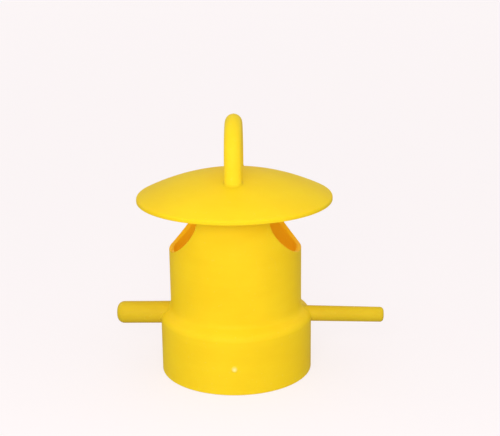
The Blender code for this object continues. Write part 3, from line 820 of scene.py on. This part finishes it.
def windowPath():
    # half of a window from the top of its side to the middle of its lower edge, as (reach, height)
    half, corner, low = barrel["windowHalf"], barrel["windowCorner"], barrel["windowLow"]
    path = [(half, h) for h in np.linspace(barrel["top"], low + corner, 7)[:-1]]
    for turn in np.linspace(0, math.pi / 2, 42):
        path.append((half - corner + corner * math.cos(turn), low + corner - corner * math.sin(turn)))
    return path + [(r, low) for r in np.linspace(half - corner, 0, 6)[1:]]


def windowLoop():
    # samples along the top of the wall, once round from the back: (outer angle, inner angle, height)
    outer, inner = barrel["upper"], barrel["upper"] - barrel["wall"]
    path = windowPath()
    wide, narrow = math.asin(path[0][0] / outer), math.asin(path[0][0] / inner)
    across = [(-r, h) for r, h in path] + [(r, h) for r, h in path[-2::-1]]

    def topEdge(start, end, count):                 # both ends are left out
        cuts = [k / count for k in range(1, count)]
        return [(start[0] + (end[0] - start[0]) * t, start[1] + (end[1] - start[1]) * t, barrel["top"])
                for t in cuts]

    def window(middle):
        return [(middle + math.asin(r / outer), middle + math.asin(r / inner), h) for r, h in across]

    quarter = math.pi / 2
    back = (-3 * quarter, -3 * quarter)
    samples = [(*back, barrel["top"])] + topEdge(back, (-math.pi - wide, -math.pi - narrow), 10)
    samples += window(-math.pi) + topEdge((-math.pi + wide, -math.pi + narrow), (-wide, -narrow), 20)
    samples += window(0.0) + topEdge((wide, narrow), (quarter, quarter), 10)
    return samples + [(quarter, quarter, barrel["top"])]


def offsetLine(points, distance):
    # moves an open line to its right by a distance, with mitred corners
    result = []
    for i, here in enumerate(points):
        before = (here - points[i - 1]).normalized() if i else None
        after = (points[i + 1] - here).normalized() if i < len(points) - 1 else None
        a = before or after
        b = after or before
        first, second = Vector((a.y, -a.x)), Vector((b.y, -b.x))
        result.append(here + (first + second) * (distance / (1 + first.dot(second))))
    return result


def wrap(radius, point):
    angle = point[0] / radius
    return Vector((radius * math.cos(angle), radius * math.sin(angle), point[1]))


def filledSheet(name, radius, border, bottom):
    # the wall's surface between the border and a level line, meshed flat and then wrapped
    steps = barrel["steps"]
    start, end = -1.5 * math.pi, 0.5 * math.pi
    grain = barrel["grain"]
    levels = max(2, round((border[-1].y - bottom) / grain))
    right = [Vector((end * radius, h)) for h in np.linspace(border[-1].y, bottom, levels + 1)[1:-1]]
    base = [Vector((a * radius, bottom)) for a in np.linspace(end, start, steps + 1)]
    left = [Vector((start * radius, h)) for h in np.linspace(bottom, border[0].y, levels + 1)[1:-1]]
    rim = list(border) + right + base + left
    edges = [(i, (i + 1) % len(rim)) for i in range(len(rim))]
    ring = np.array([tuple(p) for p in rim])
    xs = np.linspace(start, end, steps + 1)[1:-1] * radius
    inner = []
    for row, h in enumerate(np.arange(bottom + grain, barrel["top"], grain)):
        for x in xs + (0.5 * (xs[1] - xs[0]) if row % 2 else 0.0):
            if np.min(np.hypot(ring[:, 0] - x, ring[:, 1] - h)) > barrel["clear"]:
                inner.append(Vector((x, h)))
    found = delaunay_2d_cdt(rim + inner, edges, [], 1, 1e-6)
    points = [wrap(radius, p) for p in found[0]]
    return meshFrom(name, points, [list(f) for f in found[2]])


def windowEdges(samples):
    # the rounded band over the top of the wall, from the outer sheet's border to the inner sheet's
    outer, inner = barrel["upper"], barrel["upper"] - barrel["wall"]
    reach = barrel["windowEdge"]
    outerFlat = [Vector((o * outer, h)) for o, i, h in samples]
    innerFlat = [Vector((i * inner, h)) for o, i, h in samples]
    outerBorder = offsetLine(outerFlat, reach)
    innerBorder = offsetLine(innerFlat, reach)
    rows = []
    for k in range(len(samples)):
        outerCorner, innerCorner = wrap(outer, outerFlat[k]), wrap(inner, innerFlat[k])
        across = (innerCorner - outerCorner).normalized()
        bends = ((wrap(outer, outerBorder[k]), outerCorner, outerCorner + across * reach),
                 (innerCorner - across * reach, innerCorner, wrap(inner, innerBorder[k])))
        row = []
        for start, corner, end in bends:
            for t in np.linspace(0, 1, 7):
                row.append(start * (1 - t) ** 2 + corner * (2 * t * (1 - t)) + end * t ** 2)
        middle = len(row) // 2
        span = [row[middle - 1].lerp(row[middle], t) for t in (0.1, 0.5, 0.9)]
        rows.append(row[:middle] + span + row[middle:])
    width = len(rows[0])
    points = [p for row in rows for p in row]
    faces = []
    for k in range(len(rows) - 1):
        for i in range(width - 1):
            faces.append((k * width + i, k * width + i + 1, (k + 1) * width + i + 1, (k + 1) * width + i))
    return meshFrom("windowEdges", points, faces), outerBorder, innerBorder


def barrelLine():
    # outline of the turned lower part, down the outside and up the inside
    upper, skirt = barrel["upper"], barrel["skirt"]
    inside = upper - barrel["wall"]
    skirtInside = skirt - barrel["skirtWall"]
    rib = inside - barrel["ribReach"]
    ribLow = barrel["ribTop"] - barrel["ribHeight"]
    seat = barrel["seat"]
    return roundedLine([
        (upper, barrel["outerJoin"]), (upper, barrel["stepTop"], barrel["stepHollow"]),
        (skirt, barrel["stepBottom"], barrel["stepRound"]), (skirt, 0, barrel["foot"]),
        (skirtInside, 0, 0.4), (skirtInside, seat, 0.5), (inside + barrel["seatWidth"], seat, 0.5),
        (inside, seat + barrel["seatSlope"], 0.6), (inside, ribLow - barrel["ribReach"], 0.8),
        (rib, ribLow, 0.4), (rib, barrel["ribTop"], 0.4), (inside, barrel["ribTop"], 0.3),
        (inside, barrel["innerJoin"])], spacing=barrel["grain"])


def barrelRadiusAt(height):
    line = [p for p in barrelLine() if p[0] > barrel["upper"] - 0.5]
    heights = np.array([p[1] for p in line])
    radii = np.array([p[0] for p in line])
    order = np.argsort(heights)
    return float(np.interp(height, heights[order], radii[order]))


def makeBarrel():
    samples = windowLoop()
    band, outerBorder, innerBorder = windowEdges(samples)
    outer, inner = barrel["upper"], barrel["upper"] - barrel["wall"]
    outerSheet = filledSheet("outerSheet", outer, outerBorder, barrel["outerJoin"])
    innerSheet = filledSheet("innerSheet", inner, innerBorder, barrel["innerJoin"])
    angles = list(np.linspace(-1.5 * math.pi, 0.5 * math.pi, barrel["steps"] + 1))
    lower = latheMesh("lowerBarrel", barrelLine(), angles=angles)
    mesh = cleaned(joined("barrelShell", [band, outerSheet, innerSheet, lower]), weld=0.02)
    item = addPiece("barrelShell", mesh, "barrel", finish["barrel"], ["barrel"])
    item.data.materials.append(finish["inside"])
    for face in item.data.polygons:                 # the bore behind the windows gets the orange inside finish with its painted glow
        middle = face.center / mm
        rimmed = middle.z > barrel["windowLow"] - 1 and middle.xy.length < outer - 0.3
        if middle.z > barrel["seat"] and (rimmed or middle.xy.length < inner + 0.05):
            face.material_index = 1


makeBarrel()
print("barrel made")


# gate mark low on the front of the skirt

gate = {"height": 14.0, "radius": 1.7, "rise": 0.25}


def gateFinish():                                   # painted highlight: pale in the middle of the little dome, yellow round it
    look = Look("gateMark")
    reach = look.node("ShaderNodeVectorMath", {"operation": "DISTANCE"},
                      {0: look.place, 1: (0, -barrel["skirt"] * mm, gate["height"] * mm)}, give="Value")
    cloud = look.noise(900, 3, 0.6)
    # the pale middle is a painted highlight on the dome
    pale = look.ramp(reach / (gate["radius"] * mm) + cloud * 0.3, [(0.35, 0.0), (1.0, 1.0)])
    colour = look.mix(pale, (0.97, 0.84, 0.30), plasticValues["barrel"]["colour"])
    return look.set(Base_Color=colour, Roughness=cloud * 0.2 + 0.35, Normal=look.bump(cloud, 0.00003, 0.5))


def makeGateMark():
    size = gate["radius"]
    line = roundedLine([(0, gate["rise"] * 0.6), (size * 0.35, gate["rise"] * 0.6, 0.1),
                        (size * 0.55, gate["rise"], 0.2), (size * 0.8, gate["rise"], 0.2),
                        (size, 0.02, 0.1), (size, -0.4), (0, -0.4)], 0.3)
    mesh = cleaned(latheMesh("gateMark", line, 40))
    matrix = at(0, -barrel["skirt"], gate["height"]) @ turned(90, "X")
    addPiece("gateMark", moved(mesh, matrix), "barrel", gateFinish(), sharp=60)


makeGateMark()


# side arms

arms = {
    "left": {"node": "left_arm", "side": -1, "root": 5.75, "tip": 5.75, "droop": 0.0, "tenon": 3.0,
             "round": 3.8, "height": 29.8, "collar": 1.1},
    "right": {"node": "right_arm", "side": 1, "root": 4.1, "tip": 3.9, "droop": 1.4, "tenon": 2.2,
              "round": 1.8, "height": 28.7, "collar": 1.0},
}
shoulder = 8.5                                      # how far the full rod goes in behind the skirt's face
ridgeHeight, ridgeSpread = 0.05, 0.05


def makeArm(name, arm):
    low, high = nodeBox(arm["node"])
    side = arm["side"]
    reach = high.x if side > 0 else -low.x
    skirt = barrel["skirt"]
    droop = math.radians(arm["droop"])
    length = (reach - skirt) / math.cos(droop) - (arm["tip"] * math.sin(droop) * 0.5) - 0.01
    tenonEnd = skirt - min(abs(low.x), abs(high.x))
    line = roundedLine([(0, length), (arm["tip"], length, arm["round"]), (arm["root"], 0),
                        (arm["root"], -shoulder, 0.4), (arm["tenon"], -shoulder, 0.3),
                        (arm["tenon"], -tenonEnd, 0.4), (0, -tenonEnd)], spacing=1.2, turns=9)
    body = cleaned(latheMesh("armRod", line, 72))
    for corner in body.vertices:                    # a parting line along the front and the back
        angle = math.atan2(corner.co.x, corner.co.y)
        near = min(abs(angle), math.pi - abs(angle))
        out = Vector((corner.co.x, corner.co.y, 0))
        if out.length > 0.5 * mm:
            corner.co += out.normalized() * (ridgeHeight * mm * math.exp(-(near / ridgeSpread) ** 2))
    matrix = at(side * skirt, 0, arm["height"]) @ turned((90 + arm["droop"]) * side, "Y")
    moved(body, matrix)

    def surface(x, y):                              # how far out the barrel's wall stands, along the arm
        height = arm["height"] - side * x
        wall = barrelRadiusAt(height)
        return math.sqrt(max(wall * wall - y * y, 0)) - skirt

    collar = blendCollar("armCollar", arm["root"] - 0.03, surface, arm["collar"])
    moved(collar, at(side * skirt, 0, arm["height"]) @ turned(90 * side, "Y"))
    # the arm takes the darker yellow, which is painted shade
    addPiece(f"{name}Arm", body, "barrel", finish["arm"], [arm["node"]])
    # the collar's tone lies between the arm's painted shade and the barrel's yellow
    addPiece(f"{name}ArmCollar", collar, "barrel", finish["collar"])


for armName, armValues in arms.items():
    makeArm(armName, armValues)
print("arms made")


# funnel

funnel = {"flange": 31.3, "cone": 29.0, "throat": 9.4, "throatTop": 38.5, "wall": 1.6, "seat": 57.9}


def makeFunnel():
    low, high = nodeBox("funnel")
    throat = funnel["throat"] + funnel["wall"]
    line = roundedLine([
        (funnel["flange"], high.z, 0.5), (funnel["flange"], funnel["seat"], 0.4),
        (funnel["cone"], funnel["seat"], 0.5), (throat, funnel["throatTop"], 2.0),
        (throat - 0.4, low.z, 0.5), (throat - funnel["wall"] - 0.2, low.z, 0.5),
        (funnel["throat"], funnel["throatTop"] + 0.6, 2.5),
        (funnel["cone"] - funnel["wall"], high.z, 0.7)], spacing=1.5, closed=True)
    mesh = cleaned(latheMesh("funnelCone", line, 192, closed=True))
    addPiece("funnelCone", mesh, "barrel", finish["inner"], ["funnel"])


makeFunnel()


# wire link

link = {"wire": 0.9, "ring": 3.6, "wraps": 3, "wrapWire": 0.42, "wrapRadius": 1.45, "wrapPitch": 0.86}


def makeLink():
    low, high = nodeBox("lure_hook")
    upper = high.z - link["wire"] - link["ring"]
    lower = low.z + link["wire"] + link["ring"]
    turns = [math.tau * k / 72 for k in range(72)]
    rings = [
        [(link["ring"] * math.sin(a), 0, upper + link["ring"] * math.cos(a)) for a in turns],
        [(0, link["ring"] * math.sin(a), lower + link["ring"] * math.cos(a)) for a in turns],
    ]
    parts = [rodMesh("linkRing", ring, link["wire"], 16, closed=True) for ring in rings]
    middle = (upper + lower) / 2
    coil = []
    steps, reach = 24, link["wrapRadius"]           # points in one wrap, and how far out it runs
    for k in range(link["wraps"] * steps + 1):      # a thin wire bound round the crossing
        angle = math.tau * k / steps
        rise = (k / (link["wraps"] * steps) - 0.5) * link["wraps"] * link["wrapPitch"]
        coil.append((reach * math.cos(angle), reach * math.sin(angle), middle + rise))
    parts.append(rodMesh("linkBinding", coil, link["wrapWire"], 10))
    addPiece("wireLink", joined("wireLink", parts), "hook", finish["wire"],
             ["lure_hook"], sharp=50)


makeLink()


# lure cage, its cap and the lure

cage = {
    "radius": 9.5, "wall": 1.3, "roof": 1.4, "height": 15.5,
    "slots": 8, "slotWidth": 2.4, "slotLoss": 7.5, "slotRise": 0.6,
    "earWidth": 7.0, "earThick": 2.2, "earFoot": 0.7, "eye": 2.4, "eyeRise": 2.6,
}
cap = {
    "flange": 10.1, "thick": 1.8, "plugRadius": 7.9, "plugWall": 1.2, "dish": 3.2, "dishDepth": 0.5,
    "knurls": 40, "knurlReach": 0.25,
}
lure = {
    "bore": 1.7, "boreMouth": 1.9, "boreDepth": 3.0,
    "head": 4.2, "neck": 1.1, "ring": 0.15,         # the ring is a raised band near the foot
}


def makeCage():
    low, high = nodeBox("lure_cage")
    bottom = low.z
    top = bottom + cage["height"]
    radius, wall = cage["radius"], cage["wall"]
    roof = top - cage["roof"]
    line = roundedLine([(0, top), (radius, top, 1.2), (radius, bottom, 0.3), (radius - wall, bottom, 0.3),
                        (radius - wall, roof, 0.6), (0, roof)], spacing=1.2)
    shell = cleaned(latheMesh("cageShell", line, 96))
    slotHeight = cage["height"] - cage["slotLoss"]
    middle = (top + bottom) / 2 + cage["slotRise"]
    eyeHeight = top + cage["eyeRise"] + cage["eye"]
    earLow = top - cage["earFoot"]
    ear = boxMesh("ear", (cage["earWidth"], cage["earThick"], high.z - top + cage["earFoot"]),
                  (0, 0, (high.z + earLow) / 2))
    ear = carved(ear, [], bevel=0.6)
    changes = [("UNION", ear),
               ("DIFFERENCE", cylinderMesh("eye", cage["eye"], 8, at(0, 0, eyeHeight) @ turned(90, "X")))]
    for i in range(cage["slots"] // 2):
        slot = carved(boxMesh("slot", (40, cage["slotWidth"], slotHeight), (0, 0, 0)), [], bevel=0.9)
        place = at(0, 0, middle) @ turned(360 * (i + 0.5) / cage["slots"], "Z")
        changes.append(("DIFFERENCE", moved(slot, place)))
    mesh = carved(shell, changes)
    addPiece("cageShell", mesh, "cage", finish["cage"], ["lure_cage"], sharp=35)


def makeCageCap():
    low, high = nodeBox("cage_cap")
    top = low.z + cap["thick"]
    plug = cap["plugRadius"]
    plugInside = plug - cap["plugWall"]
    flange = cap["flange"] - cap["knurlReach"]
    dish, dishTop = cap["dish"], low.z + cap["dishDepth"]
    line = roundedLine([(0, top), (plugInside, top, 0.2), (plugInside, high.z, 0.3), (plug, high.z, 0.3),
                        (plug, top, 0.2), (flange, top, 0.3), (flange, low.z, 0.6), (dish, low.z, 0.3),
                        (dish - 0.6, dishTop, 0.2), (0, dishTop)], spacing=1.0)
    parts = [cleaned(latheMesh("cageCap", line, 96))]
    knurls = ringOfBlocks("capKnurls", finish["cage"])
    parts.append(knurls.grow("capKnurls", {
        "Count": cap["knurls"], "Radius": (cap["flange"] - 0.3) * mm,
        "Height": (low.z + cap["thick"] / 2) * mm, "Length": 0.6 * mm, "Width": 0.7 * mm,
        "Depth": 1.1 * mm, "Tilt": 0.0}))
    addPiece("cageCap", joined("cageCap", parts), "cap", finish["cage"],
             ["cage_cap"], sharp=40)


def makeLure():
    low, high = nodeBox("lure_septum")
    radius = high.x
    neck = radius - lure["neck"]
    bottom, top = low.z, high.z
    floor, head = top - lure["boreDepth"], top - lure["head"]
    line = roundedLine([(0, floor), (lure["bore"], floor, 0.4), (lure["boreMouth"], top, 0.3),
                        (radius, top, 0.5), (radius, head, 0.5), (neck, head - 0.8, 0.5),
                        (neck, bottom + 2.0, 0.3), (neck + lure["ring"], bottom + 1.6, 0.2),
                        (neck, bottom + 1.2, 0.3), (neck - 0.2, bottom, 0.4), (0, bottom)], 0.5)
    addPiece("rubberLure", cleaned(latheMesh("rubberLure", line, 72)), "cap", finish["lure"],
             ["lure_septum"], sharp=60)


makeCage()
makeCageCap()
makeLure()
print("lure made")


# collecting cup and what lies in it

cup = {
    "wall": 2.0, "floor": 2.0, "recess": 20.0, "slant": 1.8, "depth": 6.2, "gripWidth": 6.0,
    "drainCircle": 28.0, "drain": 2.0, "drains": 8,
    "ridges": 9, "ridgePitch": 3.2, "ridgeHeight": 3.2, "ridgeRadius": 0.55, "ridgeLength": 4.2,
}
screen = {"wires": 43, "wire": 0.2, "edge": 0.38, "edgePlace": 0.45, "gap": 0.3}
seal = {"width": 2.3, "round": 0.45}
strip = {"floor": 1.2, "gap": 0.3, "notch": 3.2, "dents": 0.12}    # dents are the felt's uneven surface


def makeCup():
    high = nodeBox("collecting_cup")[1]
    outer = high.x
    inner = outer - cup["wall"]
    floor, depth, recess, slant = cup["floor"], cup["depth"], cup["recess"], cup["slant"]
    line = roundedLine([
        (0, depth + floor), (recess - slant + floor, depth + floor, 0.8), (recess + floor, floor, 0.8),
        (inner, floor, 1.0), (inner, high.z, 0.5), (outer, high.z, 0.5), (outer, 0, 0.8),
        (recess, 0, 0.6), (recess - slant, depth, 0.8), (0, depth)], spacing=1.6)
    changes = []
    for i in range(cup["drains"]):
        angle = math.tau * (i + 0.5) / cup["drains"]
        place = at(cup["drainCircle"] * math.cos(angle), cup["drainCircle"] * math.sin(angle), 0)
        changes.append(("DIFFERENCE", cylinderMesh("drain", cup["drain"], 12, place, 32)))
    shell = carved(cleaned(latheMesh("cupShell", line, 192)), changes)
    length = 2 * (recess - 0.6 * slant)             # its ends stand in the slanted wall of the recess
    height = depth + floor / 2
    grip = carved(boxMesh("grip", (length, cup["gripWidth"], height), (0, 0, height / 2)), [], bevel=0.5)
    mesh = joined("cupShell", [shell, grip])
    addPiece("cupShell", mesh, "cup", finish["barrel"], ["collecting_cup"], sharp=35)
    tree = Growth("gripRidges")
    tree.input("Count", "NodeSocketInt")
    for word in ("Pitch", "Start", "Side", "Height", "Radius", "Length"):
        tree.input(word)
    tree.start()
    bar = tree.node("GeometryNodeMeshCylinder", None, {"Vertices": 12, "Radius": tree.get("Radius"),
                                                       "Depth": tree.get("Length")})
    line = tree.node("GeometryNodeMeshLine", {"mode": "OFFSET"},
                     {"Count": tree.get("Count"), "Offset": combineXyz(tree, tree.get("Pitch"), 0.0, 0.0),
                      "Start Location": combineXyz(tree, tree.get("Start"), tree.get("Side"),
                                                   tree.get("Height"))})
    row = tree.node("GeometryNodeInstanceOnPoints", None, {"Points": line, "Instance": bar})
    tree.end(row, finish["barrel"])
    sides = []
    pitch = cup["ridgePitch"]
    first = -pitch * (cup["ridges"] - 1) / 2
    for side in (-1, 1):
        values = {"Count": cup["ridges"], "Pitch": pitch * mm, "Start": first * mm,
                  "Side": side * cup["gripWidth"] / 2 * mm, "Height": cup["ridgeHeight"] * mm,
                  "Radius": cup["ridgeRadius"] * mm, "Length": cup["ridgeLength"] * mm}
        sides.append(tree.grow("gripRidges", values))
    addPiece("gripRidges", joined("gripRidges", sides), "cup", finish["barrel"], sharp=50)


def makeScreen():
    low, high = nodeBox("drain_screen")
    outer = high.x
    inner = cup["recess"] + cup["floor"] + screen["gap"]
    middle = (low.z + high.z) / 2
    tree = wireRing("drainMesh", finish["screen"])
    net = tree.grow("drainMesh", {"Lines": screen["wires"], "Outer": (outer - 0.4) * mm,
                                  "Inner": (inner + 0.4) * mm, "Wire": screen["wire"] * mm,
                                  "Height": middle * mm})
    parts = [net]
    turns = np.linspace(0, math.tau, 145)[:-1]
    for radius in (outer - screen["edgePlace"], inner + screen["edgePlace"]):     # rolled edges of the mesh
        ring = [(radius * math.cos(a), radius * math.sin(a), middle) for a in turns]
        parts.append(rodMesh("meshEdge", ring, screen["edge"], 10, closed=True))
    addPiece("drainMesh", joined("drainMesh", parts), "cup", finish["screen"],
             ["drain_screen"], sharp=60)


def makeSeal():
    low, high = nodeBox("cup_seal")
    outer = high.x
    inner = outer - seal["width"]
    corners = [(outer, high.z), (outer, low.z), (inner, low.z), (inner, high.z)]
    line = roundedLine([(*corner, seal["round"]) for corner in corners], spacing=0.6, closed=True)
    mesh = cleaned(latheMesh("rubberSeal", line, 160, closed=True))
    addPiece("rubberSeal", mesh, "cup", finish["seal"], ["cup_seal"])


def makeStrip():
    low, high = nodeBox("strip_cradle")
    stripLow, stripHigh = nodeBox("kill_strip")
    size = high - low
    centre = (high + low) / 2
    pocketSize = (2 * (stripHigh.x + strip["gap"]), 2 * (stripHigh.y + strip["gap"]), 8)
    pocket = boxMesh("pocket", pocketSize, (0, 0, low.z + strip["floor"] + pocketSize[2] / 2))
    tray = boxMesh("tray", size, centre)
    changes = [("DIFFERENCE", pocket)]
    for side in (-1, 1):                            # thumb notches in the long walls
        place = at(0, side * size.y / 2, high.z + 1.0)
        changes.append(("DIFFERENCE", cylinderMesh("notch", strip["notch"], 6, place @ turned(90, "X"))))
    mesh = carved(tray, changes, bevel=0.3)
    addPiece("stripTray", mesh, "cup", finish["inner"], ["strip_cradle"], sharp=45)
    stripSize = stripHigh - stripLow
    block = carved(boxMesh("feltStrip", stripSize, (stripHigh + stripLow) / 2), [], bevel=0.6)
    shape = bmesh.new()
    shape.from_mesh(block)
    bmesh.ops.triangulate(shape, faces=shape.faces)
    bmesh.ops.subdivide_edges(shape, edges=shape.edges, cuts=7, use_grid_fill=True)
    random = np.random.default_rng(7)
    shape.normal_update()
    for corner in shape.verts:
        corner.co -= corner.normal * float(random.uniform(0.0, strip["dents"])) * mm
    shape.to_mesh(block)
    shape.free()
    addPiece("feltStrip", block, "cup", finish["felt"], ["kill_strip"])


makeCup()
makeScreen()
makeSeal()
makeStrip()
print("cup made")


# floor, lights and camera

studio = {
    "floorSize": 12.0,
    "floorColour": (0.22, 0.205, 0.21),
    "floorGlow": (0.760, 0.718, 0.722),
    "skyTone": (1.0, 0.99, 0.98),
    "above": 0.80,                  # brightness of the sky overhead and of the room below
    "below": 0.42,
    "fall": 0.16,                   # how much darker it is behind than in front
    "skyLow": -0.25,                # heights between which the brightness changes
    "skyHigh": 0.35,
    "floorGap": 0.0002,             # keeps the floor clear of the trap's underside
    "lampPower": 0.80,
    "lampSize": 0.22,
    "lampReach": 0.42,              # distance from the trap's middle
    "lampHeight": 18,               # degrees above the horizon
    "lampSide": -4,                 # degrees, and left of the front is negative
}
view = {
    "place": (17.5, -528.5, 230.6), # where the camera stands, in millimetres
    "down": 15.82,                  # angles in degrees
    "turn": 1.05,
    "roll": 0.64,
    "lens": 77.08,
    "sensor": 36,
}


def makeFloor():
    look = Look("paleFloor")
    cloud = look.noise(3, 2, 0.5)
    base = studio["floorColour"]
    colour = look.mix(cloud, base, tuple(value * 0.99 for value in base))
    look.shader.inputs["Emission Color"].default_value = (*studio["floorGlow"], 1)
    look.shader.inputs["Emission Strength"].default_value = 1.0
    material = look.set(Base_Color=colour, Roughness=0.9)
    shape = bmesh.new()
    bmesh.ops.create_grid(shape, x_segments=1, y_segments=1, size=studio["floorSize"] / 2)
    mesh = bpy.data.meshes.new("floor")
    shape.to_mesh(mesh)
    shape.free()
    mesh.materials.append(material)
    floor = helperObject("floor", mesh)
    floor.location.z = barrelLow.z * mm - studio["floorGap"]
    floor.visible_diffuse = False                   # the room below lights the trap, not the white sheet
    floor.visible_glossy = False
    floor.visible_shadow = False


def makeSky():
    world = bpy.data.worlds.new("studio")
    bpy.context.scene.world = world
    world.use_nodes = True
    sky = Tree(world.node_tree)
    place = sky.node("ShaderNodeTexCoord", give="Generated")
    height = sky.node("ShaderNodeSeparateXYZ", None, {"Vector": place}, give="Z")
    depth = sky.node("ShaderNodeSeparateXYZ", None, {"Vector": place}, give="Y")
    lift = sky.node("ShaderNodeMapRange", None, {
        "Value": height, "From Min": studio["skyLow"], "From Max": studio["skyHigh"],
        "To Min": studio["below"], "To Max": studio["above"]})
    lift = lift * (1 - depth * studio["fall"])
    background = world.node_tree.nodes["Background"]
    background.inputs["Color"].default_value = (*studio["skyTone"], 1)
    sky.join(lift, background.inputs["Strength"])


def makeLamp():
    light = bpy.data.lights.new("softLamp", "AREA")
    light.shape = "DISK"
    light.size = studio["lampSize"]
    light.energy = studio["lampPower"]
    lamp = bpy.data.objects.new("softLamp", light)
    bpy.context.scene.collection.objects.link(lamp)
    middle = Vector((0, 0, (barrelLow.z + hoodHigh.z) / 2 * mm))
    aim = turned(studio["lampSide"], "Z") @ turned(90 - studio["lampHeight"], "X")
    lamp.matrix_world = Matrix.Translation(middle) @ aim @ Matrix.Translation((0, 0, studio["lampReach"]))


def makeCamera():
    data = bpy.data.cameras.new("camera")
    data.lens = view["lens"]
    data.sensor_width = view["sensor"]
    data.clip_start = 0.01
    camera = bpy.data.objects.new("camera", data)
    bpy.context.scene.collection.objects.link(camera)
    turn = turned(view["turn"], "Z") @ turned(90 - view["down"], "X") @ turned(-view["roll"], "Z")
    camera.matrix_world = at(*view["place"]) @ turn
    bpy.context.scene.camera = camera


makeFloor()
makeSky()
makeLamp()
makeCamera()
bpy.context.scene.view_settings.view_transform = "Standard"
print("studio made")

bpy.context.view_layer.update()
